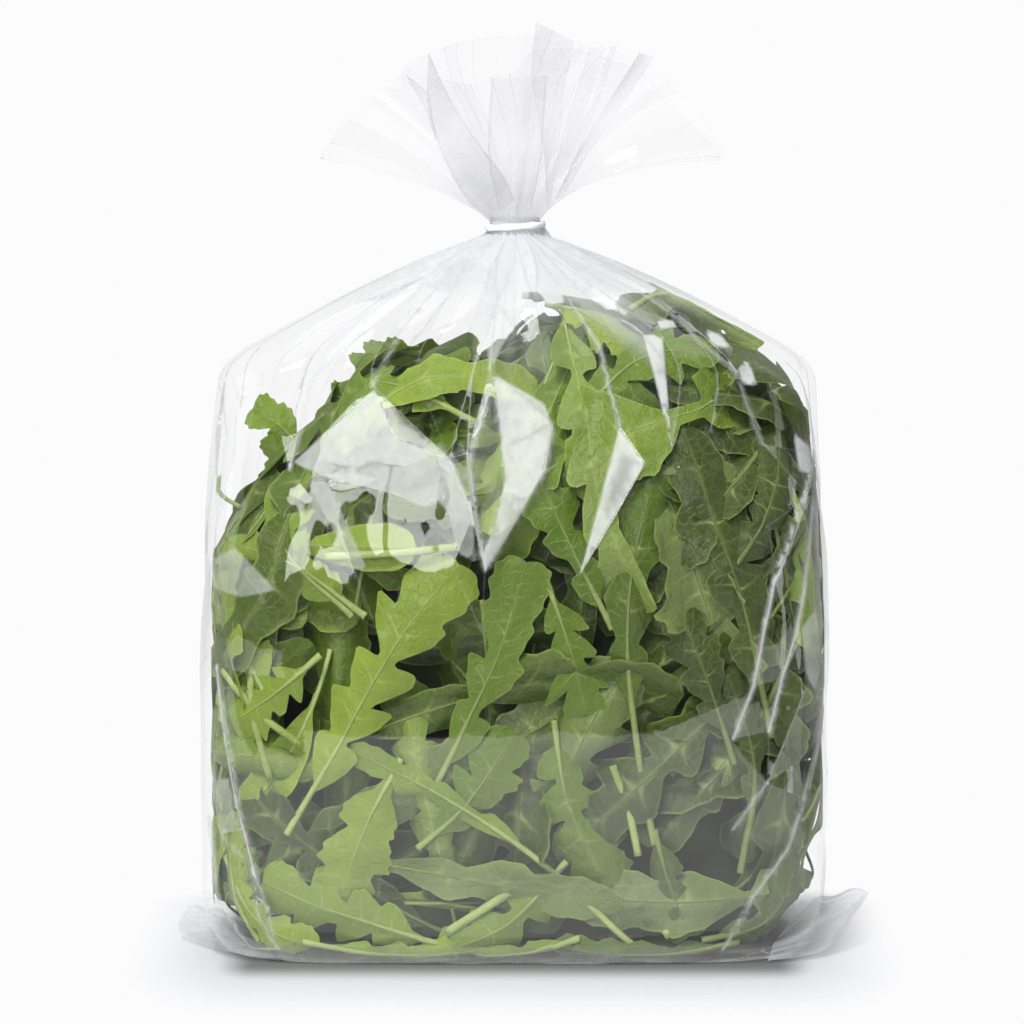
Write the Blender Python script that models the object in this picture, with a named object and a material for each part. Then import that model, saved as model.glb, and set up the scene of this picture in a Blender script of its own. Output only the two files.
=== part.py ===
"""A clear film bag of salad leaves, standing on its base, gathered and tied at the neck.

Two solids: the filled bag, which is one piece of film with pleated shoulders, a ruffled fan
above the neck and a folded ear at each end of the base; and the thin band that ties it.
Metres, +Z up. The front faces -Y, and the origin is in the middle of the base.
"""

import math

import bmesh
import bpy
import numpy as np

MM = 0.001

# The filled bag.
BODY_WIDTH = 195 * MM
BODY_DEPTH = 112 * MM
FOOT_INSET = 8 * MM
FOOT_HEIGHT = 22 * MM
LEAN_START = 100 * MM
LEAN_WIDE = 7 * MM
LEAN_DEEP = 30 * MM
SHOULDER_SOFTNESS = 9 * MM
LEAF_BULGE = 1.2 * MM
CORNER_POWER = 3.0
FOLD_DEPTH = 4.2 * MM
FOLDS_START = 140 * MM
FOLDS_FULL = 200 * MM
GUSSET_DEPTH = 5 * MM
GUSSET_WIDTH = math.radians(17)
GUSSET_START = 90 * MM

# The neck under the tie, and how far out the domed shoulders are at a drop below it.
NECK_WIDTH = 15.6 * MM
NECK_DEPTH = 14.4 * MM
NECK_BOTTOM = 223 * MM
NECK_TOP = 228.5 * MM
SHOULDER_DROP = 40 * MM
SHOULDER_REACH_WIDE = 85 * MM
SHOULDER_REACH_DEEP = 29 * MM
SHOULDER_DOME = 0.8

# The ruffled fan above the neck.
FAN_REACH = 59 * MM
FAN_SPREAD = math.radians(72)
FRONT_LEAN = math.radians(33)
BACK_LEAN = math.radians(16)
FAN_RUFFLES = 15
RUFFLE_HEIGHT = 4.5 * MM
FILM_WALL = 1.0 * MM
FAN_FLOOR = 0.2

# The ears at the ends of the base.
EAR_TIP_OUT = 108.5 * MM
EAR_ROOT_OUT = 76 * MM
EAR_ROOT_WIDTH = 64 * MM
EAR_TIP_WIDTH = 7 * MM
EAR_THICKNESS = 1.4 * MM
EAR_ROLL = math.radians(21)
EAR_ROOT_HEIGHT = 13 * MM
LEFT_EAR_RISE = -8 * MM
RIGHT_EAR_RISE = 2 * MM

# The tie.
TIE_HEIGHT = 225.7 * MM
TIE_THICKNESS = 2.0 * MM
TIE_GAP = 0.35 * MM
TIE_TILT = math.radians(4)
KNOT_SIZE = 3.4 * MM

POINTS_ROUND = 112


def clear_scene():
    for old in list(bpy.data.objects):
        bpy.data.objects.remove(old, do_unlink=True)


def collection(name):
    made = bpy.data.collections.new(name)
    bpy.context.scene.collection.children.link(made)
    return made


def material(name, colour, roughness, alpha=1.0):
    made = bpy.data.materials.new(name)
    made.use_nodes = True
    shader = made.node_tree.nodes["Principled BSDF"]
    shader.inputs["Base Color"].default_value = (*colour, 1)
    shader.inputs["Roughness"].default_value = roughness
    shader.inputs["Metallic"].default_value = 0.0
    shader.inputs["Alpha"].default_value = alpha
    return made


def smoothstep(low, high, value):
    share = min(max((value - low) / (high - low), 0.0), 1.0)
    return share * share * (3 - 2 * share)


def smooth_min(a, b, softness):
    mix = max(softness - abs(a - b), 0.0) / softness
    return min(a, b) - mix * mix * softness / 4


def half_size(full, neck, lean, reach, height):
    """Half the bag's width or depth at a height: rounded foot, wall that leans in, domed shoulder."""
    lift = min(height / FOOT_HEIGHT, 1.0)
    foot = FOOT_INSET * (1 - math.sqrt(1 - (1 - lift) ** 2))
    leaning = max(height - LEAN_START, 0.0) / (NECK_BOTTOM - LEAN_START)
    wall = full / 2 - foot - lean * leaning**1.5
    drop = max(NECK_BOTTOM - height, 0.0) / SHOULDER_DROP
    shoulder = neck / 2 + reach * drop**SHOULDER_DOME
    return max(smooth_min(wall, shoulder, SHOULDER_SOFTNESS), neck / 2)


def rounded_box_ring(half_width, half_depth, power):
    """Points spaced evenly round a superellipse, from +X and counter-clockwise."""
    angles = np.linspace(0, 2 * math.pi, 1441)
    cosine, sine = np.cos(angles), np.sin(angles)
    x = half_width * np.sign(cosine) * np.abs(cosine) ** (2 / power)
    y = half_depth * np.sign(sine) * np.abs(sine) ** (2 / power)
    run = np.concatenate([[0], np.cumsum(np.hypot(np.diff(x), np.diff(y)))])
    spots = np.linspace(0, run[-1], POINTS_ROUND, endpoint=False)
    return np.stack([np.interp(spots, run, x), np.interp(spots, run, y)], axis=1)


def outward(ring):
    """Unit normals in the horizontal plane of a counter-clockwise ring."""
    along = np.roll(ring, -1, axis=0) - np.roll(ring, 1, axis=0)
    normal = np.stack([along[:, 1], -along[:, 0]], axis=1)
    return normal / np.linalg.norm(normal, axis=1, keepdims=True)


def turns():
    return np.linspace(0, 2 * math.pi, POINTS_ROUND, endpoint=False)


def fold_pattern():
    """Uneven folds that run from the neck down over the shoulders, between -1 and 1."""
    turn = turns()
    waves = 0.5 * np.cos(9 * turn + 0.7) + 0.3 * np.cos(14 * turn + 2.1) + 0.2 * np.cos(5 * turn)
    return waves * (1 + 0.3 * np.cos(turn - 1.9))


def body_ring(height):
    half_width = half_size(BODY_WIDTH, NECK_WIDTH, LEAN_WIDE, SHOULDER_REACH_WIDE, height)
    half_depth = half_size(BODY_DEPTH, NECK_DEPTH, LEAN_DEEP, SHOULDER_REACH_DEEP, height)
    power = 2 + CORNER_POWER * (2 * half_depth / BODY_DEPTH) ** 1.5
    ring = rounded_box_ring(half_width, half_depth, power)
    turn = turns()
    room = half_depth - NECK_DEPTH / 2
    gathering = smoothstep(FOLDS_START, FOLDS_FULL, height)
    fold = min(FOLD_DEPTH * gathering, 0.22 * room) * fold_pattern()
    off_side = (turn + math.pi / 2) % math.pi - math.pi / 2
    gusset_depth = min(GUSSET_DEPTH * smoothstep(GUSSET_START, FOLDS_FULL, height), 0.3 * room)
    gusset = -gusset_depth * np.exp(-((off_side / GUSSET_WIDTH) ** 2))
    upright = smoothstep(0, 30 * MM, height) * (1 - gathering)
    waves = np.cos(4 * turn + height / (14 * MM)) * np.cos(7 * turn - height / (19 * MM))
    ring = ring + outward(ring) * (fold + gusset + LEAF_BULGE * upright * waves)[:, None]
    return np.column_stack([ring, np.full(POINTS_ROUND, height)])


def fan_ring(share):
    """The film above the neck, at a share of its reach: a ruffled fan, open between front and back."""
    turn = turns()
    half_turn = np.abs((turn + math.pi) % (2 * math.pi) - math.pi) / math.pi
    across = 0.75 * (1 - 2 * half_turn) + 0.25 * np.cos(turn)
    spread = FAN_SPREAD * across
    layer = np.abs(np.sin(turn)) ** 0.7
    lean = np.where(np.sin(turn) < 0, -FRONT_LEAN, BACK_LEAN) * layer
    rim = 1 + 0.035 * np.cos(3 * turn + 1.0) + 0.03 * np.cos(8 * turn)
    reach = FAN_REACH * share * rim
    ruffle = RUFFLE_HEIGHT * share**1.2 * np.cos(FAN_RUFFLES * turn + 0.8 * np.cos(3 * turn)) * layer
    neck = rounded_box_ring(NECK_WIDTH / 2, NECK_DEPTH / 2, 2)
    x = neck[:, 0] + reach * np.sin(spread) * np.cos(lean)
    y = neck[:, 1] + reach * np.sin(lean) + ruffle
    z = NECK_TOP + reach * np.cos(spread) * np.cos(lean)
    return np.column_stack([x, y, z])


def set_in(ring):
    """The same ring on the film's inner face."""
    inner = ring.copy()
    inner[:, :2] -= outward(ring[:, :2]) * FILM_WALL
    return inner


def loft(name, rings, bottom, top):
    """One closed skin through the rings, with a flat face at each end."""
    mesh = bmesh.new()
    rows = [[mesh.verts.new(point) for point in ring] for ring in rings]
    for lower, upper in zip(rows, rows[1:]):
        for i in range(POINTS_ROUND):
            j = (i + 1) % POINTS_ROUND
            mesh.faces.new((lower[i], lower[j], upper[j], upper[i]))
    for row, centre in ((rows[0][::-1], bottom), (rows[-1], top)):
        middle = mesh.verts.new(centre)
        for i in range(POINTS_ROUND):
            mesh.faces.new((row[i], row[(i + 1) % POINTS_ROUND], middle))
    bmesh.ops.recalc_face_normals(mesh, faces=mesh.faces[:])
    data = bpy.data.meshes.new(name)
    mesh.to_mesh(data)
    mesh.free()
    return bpy.data.objects.new(name, data)


def bag(parts):
    foot = [0, 2, 6, 12, 22]
    wall = [42, 64, 86, 108, 130, 148, 162, 172]
    shoulder = [180, 187, 193, 199, 205, 210, 214.5, 218, 221, 223]
    rings = [body_ring(height * MM) for height in foot + wall + shoulder]
    outer = [fan_ring(share) for share in (0.0, 0.08, 0.2, 0.36, 0.56, 0.78, 1.0)]
    inner = [set_in(fan_ring(share)) for share in (1.0, 0.78, 0.56, 0.36, FAN_FLOOR)]
    fan_floor = (0, 0, NECK_TOP + FAN_FLOOR * FAN_REACH / 2)
    made = loft("bag", rings + outer + inner, (0, 0, 0), fan_floor)
    parts.objects.link(made)
    return made


def ear(name, side, rise, helpers):
    """A flat folded flap that tapers outwards from the foot of the bag, its back edge the higher."""
    steps = 7
    length = EAR_TIP_OUT - EAR_ROOT_OUT
    edge = []
    for i in range(steps + 1):
        share = i / steps
        taper = (1 - share) ** 0.8
        edge.append((share * length, EAR_TIP_WIDTH / 2 + (EAR_ROOT_WIDTH - EAR_TIP_WIDTH) / 2 * taper))
    outline = edge + [(x, -y) for x, y in reversed(edge)]
    curve = bpy.data.curves.new(name, "CURVE")
    curve.dimensions = "2D"
    curve.fill_mode = "BOTH"
    curve.extrude = EAR_THICKNESS / 2
    spline = curve.splines.new("POLY")
    spline.points.add(len(outline) - 1)
    for point, (x, y) in zip(spline.points, outline):
        point.co = (x, y, 0, 1)
    spline.use_cyclic_u = True
    flat = bpy.data.objects.new(name + "_curve", curve)
    helpers.objects.link(flat)
    tilt = math.atan2(rise, length)
    flat.rotation_euler = (side * EAR_ROLL, -tilt, 0 if side > 0 else math.pi)
    flat.scale = (1 / math.cos(tilt), 1, 1)
    flat.location = (side * EAR_ROOT_OUT, 0, EAR_ROOT_HEIGHT)
    return as_mesh(flat, name, helpers)


def as_mesh(curve_object, name, helpers):
    """The curve's mesh with its loose caps welded, in place of the curve."""
    bpy.context.view_layer.update()
    graph = bpy.context.evaluated_depsgraph_get()
    data = bpy.data.meshes.new_from_object(curve_object.evaluated_get(graph))
    mesh = bmesh.new()
    mesh.from_mesh(data)
    bmesh.ops.remove_doubles(mesh, verts=mesh.verts[:], dist=1e-6)
    bmesh.ops.recalc_face_normals(mesh, faces=mesh.faces[:])
    mesh.to_mesh(data)
    mesh.free()
    made = bpy.data.objects.new(name, data)
    made.matrix_world = curve_object.matrix_world
    bpy.data.objects.remove(curve_object, do_unlink=True)
    helpers.objects.link(made)
    made.hide_render = True
    made.display_type = "WIRE"
    return made


def join(base, other):
    union = base.modifiers.new("join " + other.name, "BOOLEAN")
    union.operation = "UNION"
    union.object = other


def tie(parts, helpers):
    """A round band a little larger than the neck, tilted, with a knot at its right-hand end."""
    steps = 40
    inner_gap = TIE_GAP + TIE_THICKNESS / 2
    curve = bpy.data.curves.new("tie_band", "CURVE")
    curve.dimensions = "3D"
    curve.bevel_depth = TIE_THICKNESS / 2
    curve.bevel_resolution = 2
    spline = curve.splines.new("POLY")
    spline.points.add(steps - 1)
    for i, point in enumerate(spline.points):
        turn = 2 * math.pi * i / steps
        x = (NECK_WIDTH / 2 + inner_gap) * math.cos(turn)
        y = (NECK_DEPTH / 2 + inner_gap) * math.sin(turn)
        point.co = (x, y, 0, 1)
    spline.use_cyclic_u = True
    band = bpy.data.objects.new("tie_band", curve)
    helpers.objects.link(band)
    band.location = (0, 0, TIE_HEIGHT)
    band.rotation_euler = (0, -TIE_TILT, 0)
    made = as_mesh(band, "tie", helpers)
    helpers.objects.unlink(made)
    parts.objects.link(made)
    made.hide_render = False
    made.display_type = "TEXTURED"

    out = NECK_WIDTH / 2 + inner_gap + 0.4 * KNOT_SIZE
    bpy.ops.mesh.primitive_uv_sphere_add(
        segments=16,
        ring_count=10,
        radius=KNOT_SIZE / 2,
        location=(out, 0, TIE_HEIGHT + out * math.sin(TIE_TILT)),
    )
    knot = bpy.context.object
    knot.name = "tie_knot"
    knot.scale = (0.8, 1.0, 1.1)
    for user in list(knot.users_collection):
        user.objects.unlink(knot)
    helpers.objects.link(knot)
    knot.hide_render = True
    knot.display_type = "WIRE"
    join(made, knot)
    return made


def shade(made, surface):
    made.data.materials.clear()
    made.data.materials.append(surface)
    made.data.shade_smooth()
    made.data.set_sharp_from_angle(angle=math.radians(35))


def main():
    clear_scene()
    parts = collection("bag_of_salad_leaves")
    helpers = collection("helpers")
    filled = bag(parts)
    join(filled, ear("left_ear", -1, LEFT_EAR_RISE, helpers))
    join(filled, ear("right_ear", 1, RIGHT_EAR_RISE, helpers))
    shade(filled, material("film over leaves", (0.13, 0.24, 0.05), 0.12))
    shade(tie(parts, helpers), material("white band", (0.86, 0.86, 0.84), 0.45))


main()
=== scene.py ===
"""The looks of a clear film bag of salad leaves: creased film, rocket leaves and stems, and the tie.

Lengths are in metres; sizes written as a number times MM are in millimetres. The front faces -Y.
"""

import math

import bpy
import numpy as np
from mathutils import Matrix, Vector, geometry
from mathutils.bvhtree import BVHTree
from mathutils.kdtree import KDTree

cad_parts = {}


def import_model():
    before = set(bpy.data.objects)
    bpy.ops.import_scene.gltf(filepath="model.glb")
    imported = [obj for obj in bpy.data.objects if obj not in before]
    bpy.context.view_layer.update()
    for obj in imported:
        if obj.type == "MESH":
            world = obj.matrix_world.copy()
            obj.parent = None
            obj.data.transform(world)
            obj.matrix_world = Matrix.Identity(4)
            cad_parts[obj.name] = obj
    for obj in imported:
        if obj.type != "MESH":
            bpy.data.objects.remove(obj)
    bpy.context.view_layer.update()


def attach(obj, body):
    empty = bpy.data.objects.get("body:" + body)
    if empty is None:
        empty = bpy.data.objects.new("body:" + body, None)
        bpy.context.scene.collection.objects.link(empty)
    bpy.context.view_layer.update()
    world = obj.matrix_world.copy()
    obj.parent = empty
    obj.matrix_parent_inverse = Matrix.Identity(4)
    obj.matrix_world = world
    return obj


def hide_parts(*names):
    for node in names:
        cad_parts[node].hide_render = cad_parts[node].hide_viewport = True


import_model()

MM = 0.001
SEED = 20

# The bag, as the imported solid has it.
BODY_WIDTH = 195 * MM
BODY_DEPTH = 112 * MM
FOOT_INSET = 8 * MM
FOOT_HEIGHT = 22 * MM
LEAN_START = 100 * MM
LEAN_WIDE = 7 * MM
LEAN_DEEP = 30 * MM
SHOULDER_SOFTNESS = 9 * MM
CORNER_POWER = 3.0
GUSSET_DEPTH = 1.5 * MM
GUSSET_WIDTH = math.radians(17)
GUSSET_START = 90 * MM
FOLDS_FULL = 200 * MM
NECK_WIDTH = 15.6 * MM
NECK_DEPTH = 14.4 * MM
NECK_BOTTOM = 223 * MM
NECK_TOP = 228.5 * MM
FAN_FOOT = 227 * MM
SHOULDER_DROP = 40 * MM
SHOULDER_REACH_WIDE = 85 * MM
SHOULDER_REACH_DEEP = 29 * MM
SHOULDER_DOME = 0.8
FRONT_LEAN = math.radians(33)
BACK_LEAN_SEEN = math.radians(21)
FAN_ROWS = 56
TIE_HEIGHT = 225.7 * MM
TIE_OFF = 1.05 * MM

# The heap of leaves inside.
HEAP_GAP = 1.3 * MM
HEAP_TOP = 208 * MM
HEAP_DOME = 140 * MM
HEAP_HALF_DEPTH = 52 * MM
CORE_INSET = 23 * MM
# How far it reaches to the left and to the right at each height, in mm; where that is beyond the film, the
# film presses it flat.
HEAP_LEFT = ((0, 91), (20, 99), (125, 98), (158, 72), (178, 54), (190, 32), (198, 14), (208, 2))
HEAP_RIGHT = (
    (0, 91), (20, 100), (138, 101), (152, 95), (165, 89),
    (177, 83), (187, 75), (196, 60), (203, 40), (208, 8),
)


def smoothstep(low, high, value):
    share = np.clip((value - low) / (high - low), 0.0, 1.0)
    return share * share * (3 - 2 * share)


def smooth_min(a, b, softness):
    mix = max(softness - abs(a - b), 0.0) / softness
    return min(a, b) - mix * mix * softness / 4


def half_size(full, neck, lean, reach, height):
    """Half the bag's width or depth at a height: rounded foot, wall that leans in, domed shoulder."""
    lift = min(height / FOOT_HEIGHT, 1.0)
    foot = FOOT_INSET * (1 - math.sqrt(1 - (1 - lift) ** 2))
    leaning = max(height - LEAN_START, 0.0) / (NECK_BOTTOM - LEAN_START)
    wall = full / 2 - foot - lean * leaning**1.5
    drop = max(NECK_BOTTOM - height, 0.0) / SHOULDER_DROP
    shoulder = neck / 2 + reach * drop**SHOULDER_DOME
    return max(smooth_min(wall, shoulder, SHOULDER_SOFTNESS), neck / 2)


def half_width_at(height):
    return half_size(BODY_WIDTH, NECK_WIDTH, LEAN_WIDE, SHOULDER_REACH_WIDE, height)


def half_depth_at(height):
    return half_size(BODY_DEPTH, NECK_DEPTH, LEAN_DEEP, SHOULDER_REACH_DEEP, height)


def corner_power(half_depth):
    """How square the bag's corners are where it has this half depth; it is rounder towards the neck."""
    return 2 + CORNER_POWER * (2 * half_depth / BODY_DEPTH) ** 1.5


def rounded_box_ring(half_width, half_depth, power, count):
    """Points spaced evenly round a superellipse, from +X and counter-clockwise."""
    angles = np.linspace(0, 2 * math.pi, 1441)
    cosine, sine = np.cos(angles), np.sin(angles)
    x = half_width * np.sign(cosine) * np.abs(cosine) ** (2 / power)
    y = half_depth * np.sign(sine) * np.abs(sine) ** (2 / power)
    run = np.concatenate([[0], np.cumsum(np.hypot(np.diff(x), np.diff(y)))])
    spots = np.linspace(0, run[-1], count, endpoint=False)
    return np.stack([np.interp(spots, run, x), np.interp(spots, run, y)], axis=1)


def outward(ring):
    """Unit normals in the horizontal plane of a counter-clockwise ring."""
    along = np.roll(ring, -1, axis=0) - np.roll(ring, 1, axis=0)
    normal = np.stack([along[:, 1], -along[:, 0]], axis=1)
    return normal / np.linalg.norm(normal, axis=1, keepdims=True)


def quads(shape, start=0, closed=False):
    """The four-cornered faces of a grid of points that are numbered from start; closed joins its sides."""
    index = start + np.arange(shape[0] * shape[1]).reshape(shape)
    if closed:
        index = np.concatenate([index, index[:, :1]], axis=1)
    corners = [index[:-1, :-1], index[:-1, 1:], index[1:, 1:], index[1:, :-1]]
    return np.stack(corners, axis=-1).reshape(-1, 4).tolist()


def mesh_object(name, points, faces, material, smooth=True, **looks):
    """A mesh in the scene, with its material and the named shading values of its points."""
    mesh = bpy.data.meshes.new(name)
    mesh.from_pydata([tuple(p) for p in points], [], [tuple(f) for f in faces])
    mesh.update()
    if smooth:
        mesh.shade_smooth()
    for title, values in looks.items():
        layer = mesh.attributes.new(title, "FLOAT", "POINT")
        layer.data.foreach_set("value", np.asarray(values, np.float32).ravel())
    mesh.materials.append(material)
    made = bpy.data.objects.new(name, mesh)
    bpy.context.scene.collection.objects.link(made)
    return made


# ---------------------------------------------------------------- materials


class Nodes:
    """A small helper that adds and links the shader nodes of a material or a world."""

    def __init__(self, owner, output="OutputMaterial"):
        owner.use_nodes = True
        self.owner, self.tree = owner, owner.node_tree
        self.tree.nodes.clear()
        self.output = self.add(output)

    def feed(self, socket, value):
        """Link a socket to another node's output, or set it to a number, a vector or a colour."""
        if isinstance(value, bpy.types.NodeSocket):
            self.tree.links.new(value, socket)
        elif socket.type == "RGBA":
            socket.default_value = (*value, 1)
        else:
            socket.default_value = value

    def add(self, kind, **settings):
        """A new node with its sockets and settings; a space in a socket's name is written _ here."""
        node = self.tree.nodes.new("ShaderNode" + kind)
        for key, value in settings.items():
            title = key.replace("_", " ")
            if title in node.inputs:
                self.feed(node.inputs[title], value)
            else:
                setattr(node, key, value)
        return node

    def fed(self, node, output, *values):
        """A node's output, once its first sockets are fed."""
        for socket, value in zip(node.inputs, values):
            self.feed(socket, value)
        return node.outputs[output]

    def attribute(self, name):
        return self.add("Attribute", attribute_name=name).outputs["Fac"]

    def coordinates(self):
        return self.add("TexCoord").outputs["Object"]

    def math(self, operation, a, b):
        return self.fed(self.add("Math", operation=operation), 0, a, b)

    def vectors(self, operation, a, b):
        return self.fed(self.add("VectorMath", operation=operation), 0, a, b)

    def blend(self, factor, a, b):
        """A mix of two shaders."""
        return self.fed(self.add("MixShader"), 0, factor, a, b)

    def mix(self, factor, a, b):
        """A mix of two colours."""
        node = self.add("Mix", data_type="RGBA", Factor=factor)
        self.feed(node.inputs[6], a)
        self.feed(node.inputs[7], b)
        return node.outputs[2]

    def noise(self, scale, detail, roughness=0.5, vector=None):
        if vector is None:
            vector = self.coordinates()
        node = self.add("TexNoise", Scale=scale, Detail=detail, Roughness=roughness, Vector=vector)
        return node.outputs["Fac"]

    def ramp(self, factor, stops):
        node = self.add("ValToRGB", Fac=factor)
        elements = node.color_ramp.elements
        while len(elements) < len(stops):
            elements.new(0.5)
        for element, (place, value) in zip(elements, stops):
            element.position = place
            element.color = (value, value, value, 1) if isinstance(value, (int, float)) else (*value, 1)
        return node.outputs["Color"]

    def fade(self, value, low, high):
        """0 to 1, smoothly, while a value goes from low to high."""
        node = self.add("MapRange", interpolation_type="SMOOTHSTEP", From_Min=low, From_Max=high, Value=value)
        return node.outputs["Result"]

    def show(self, shader):
        """Gives the surface its shader, and returns the finished material or world."""
        self.feed(self.output.inputs["Surface"], shader)
        return self.owner


def leaf_material():
    n = Nodes(bpy.data.materials.new("salad leaf"))
    tone = n.attribute("tone")
    mottle = n.ramp(n.noise(70, 4), ((0.35, 0.0), (0.65, 1.0)))
    cells = n.add("TexVoronoi", feature="DISTANCE_TO_EDGE", Scale=330, Vector=n.coordinates())
    net = n.ramp(cells.outputs["Distance"], ((0.0, 1.0), (0.12, 0.0)))
    greens = ((0.0, (0.030, 0.046, 0.007)), (0.5, (0.095, 0.165, 0.013)), (1.0, (0.24, 0.345, 0.036)))
    colour = n.ramp(tone, greens)
    for share, strength, over in (
        (n.attribute("under"), 0.55, (0.22, 0.30, 0.10)),
        (mottle, 0.30, (0.085, 0.145, 0.014)),
        (net, 0.08, (0.36, 0.46, 0.12)),
        (n.math("POWER", n.attribute("vein"), 3.2), 0.65, (0.44, 0.54, 0.18)),
        # pale rims along the blade's edge: a painted highlight of lit edges
        (n.math("POWER", n.attribute("edge"), 4.0), 0.45, (0.42, 0.50, 0.14)),
    ):
        colour = n.mix(n.math("MULTIPLY", share, strength), colour, over)
    colour = n.mix(n.attribute("stem"), colour, n.mix(tone, (0.19, 0.25, 0.07), (0.42, 0.52, 0.18)))
    raised = n.math("ADD", n.noise(190, 5), n.math("MULTIPLY", net, -0.12))
    raised = n.math("ADD", raised, n.math("MULTIPLY", n.noise(60, 2), 3.6))
    bump = n.add("Bump", Strength=0.7, Distance=0.0013, Height=raised).outputs["Normal"]
    surface = n.add("BsdfPrincipled", Roughness=0.38, Specular_IOR_Level=0.5, Base_Color=colour, Normal=bump)
    glow = n.add("BsdfTranslucent", Color=n.mix(0.5, colour, (0.33, 0.50, 0.03)))
    return n.show(n.blend(0.20, surface.outputs[0], glow.outputs[0]))


def painted_shade_core_material():
    n = Nodes(bpy.data.materials.new("painted shade inside the heap"))
    mottle = n.ramp(n.noise(60, 4), ((0.4, 0.0), (0.62, 1.0)))
    # very dark greens: painted shade for the leaves deep in the heap
    colour = n.mix(mottle, (0.014, 0.018, 0.010), (0.050, 0.072, 0.022))
    surface = n.add("BsdfPrincipled", Roughness=0.7, Specular_IOR_Level=0.1, Base_Color=colour)
    return n.show(surface.outputs[0])


def film_material():
    """Clear thin film: it lets light straight through and mirrors a little, more at a slant.

    It is milky where it is hazy; on creases, bright folds and white facets that milk is a painted highlight.
    Painted shade greys the milk, and the film mirrors less, where it is painted greyer.
    """
    n = Nodes(bpy.data.materials.new("clear film"))
    dull_painted_shade = n.attribute("dull_painted_shade")
    streaks = n.noise(42, 1.0, vector=n.vectors("MULTIPLY", n.coordinates(), (1.9, 1.0, 0.5)))
    ripple = n.add("Bump", Strength=0.12, Distance=0.002, Height=streaks).outputs["Normal"]
    clear = n.add("BsdfTransparent", Color=(0.996, 0.996, 0.997)).outputs[0]
    gloss = n.add("BsdfGlossy", Roughness=0.03, Color=(1, 1, 1), Normal=ripple).outputs[0]
    mirror = n.math("MINIMUM", n.math("MULTIPLY", n.add("Fresnel", IOR=1.5).outputs[0], 1.5), 0.40)
    # the mirror is weaker on back faces, and painted shade weakens it and greys the milk where the film is
    # painted greyer
    for weaker, share in ((n.add("NewGeometry").outputs["Backfacing"], 0.85), (dull_painted_shade, 0.8)):
        mirror = n.math("MULTIPLY", mirror, n.math("SUBTRACT", 1.0, n.math("MULTIPLY", weaker, share)))
    white = n.mix(dull_painted_shade, (0.86, 0.87, 0.89), (0.63, 0.63, 0.665))
    milk, glow = (n.add(kind, Color=white).outputs[0] for kind in ("BsdfDiffuse", "BsdfTranslucent"))
    # crease lines, bright folds and white facets add milk that is a painted highlight
    line = n.math("MULTIPLY", n.math("POWER", n.attribute("crease"), 6.0), 0.60)
    fold = n.math("POWER", n.attribute("fold"), 2.2)
    clouds = n.math("ADD", n.math("MULTIPLY", n.noise(120, 4, 0.6), 1.3), 0.35)
    facet = n.math("MULTIPLY", n.ramp(n.attribute("facet"), ((0.42, 0.0), (0.58, 1.0))), n.attribute("milk"))
    cloudiness = n.math("MULTIPLY", n.math("ADD", n.attribute("haze"), facet), clouds)
    haze = n.math("MINIMUM", n.math("ADD", n.math("MAXIMUM", cloudiness, fold), line), 0.9)
    return n.show(n.blend(haze, n.blend(mirror, clear, gloss), n.blend(0.5, milk, glow)))


def tie_material():
    n = Nodes(bpy.data.materials.new("white tie"))
    return n.show(n.add("BsdfPrincipled", Roughness=0.35, Base_Color=(0.86, 0.86, 0.87)).outputs[0])


# ---------------------------------------------------------------- the heap of leaves


def heap_sides(height):
    """The heap's left and right reach and its half depth at a height; it slumps away on the left."""
    left, right = (np.interp(height / MM, *np.array(side).T) * MM for side in (HEAP_LEFT, HEAP_RIGHT))
    share = min(max((height - HEAP_DOME) / (HEAP_TOP - HEAP_DOME), 0.0), 1.0)
    deep = min(half_depth_at(height) - HEAP_GAP, HEAP_HALF_DEPTH * math.sqrt(1 - share**2.5))
    return left, right, deep


def heap_ring(height, inset, count):
    left, right, deep = heap_sides(height)
    wide = max((left + right) / 2 - inset, 0.5 * MM)
    deep = max(deep - inset, 0.5 * MM)
    ring = rounded_box_ring(wide, deep, corner_power(deep), count)
    ring[:, 0] += (right - left) / 2
    return np.column_stack([ring, np.full(count, height)])


def heap_mesh(inset=0.0, around=240, up=130):
    """The heap's outer shape, less an inset all round, as points and faces."""
    bottom, top = 1.0 * MM, HEAP_TOP - inset
    spaced = 1 - (1 - np.linspace(0, 1, up)) ** 1.35
    heights = bottom + (top - 0.3 * MM - bottom) * spaced
    rings = np.concatenate([heap_ring(h, inset, around) for h in heights])
    ends = [range(around - 1, -1, -1), range((up - 1) * around, up * around)]
    return rings, quads((up, around), closed=True) + [tuple(end) for end in ends]


class Surface:
    """The heap's surface, to walk on and to drop points onto."""

    def __init__(self):
        points, faces = heap_mesh()
        self.tree = BVHTree.FromPolygons([tuple(p) for p in points], faces)

    def nearest(self, point):
        spot, normal, _, _ = self.tree.find_nearest(point)
        return spot, normal

    def from_front(self, x, z):
        spot, normal, _, _ = self.tree.ray_cast(Vector((x, -1, z)), Vector((0, 1, 0)))
        if spot is None:
            spot, normal = self.nearest(Vector((x, -BODY_DEPTH / 2, z)))
        return spot, normal

    def step(self, spot, heading, distance):
        """Walk a distance along the surface, and carry the heading over."""
        spot, normal = self.nearest(spot + heading * distance)
        heading = heading - normal * heading.dot(normal)
        return spot, normal, heading.normalized()


class Upright:
    """A flat sheet facing the front, for leaves that stand clear of the heap."""

    def __init__(self, y):
        self.y = y

    def nearest(self, point):
        return Vector((point[0], self.y, point[2])), Vector((0, -1, 0))

    def from_front(self, x, z):
        return self.nearest((x, self.y, z))

    step = Surface.step


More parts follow.
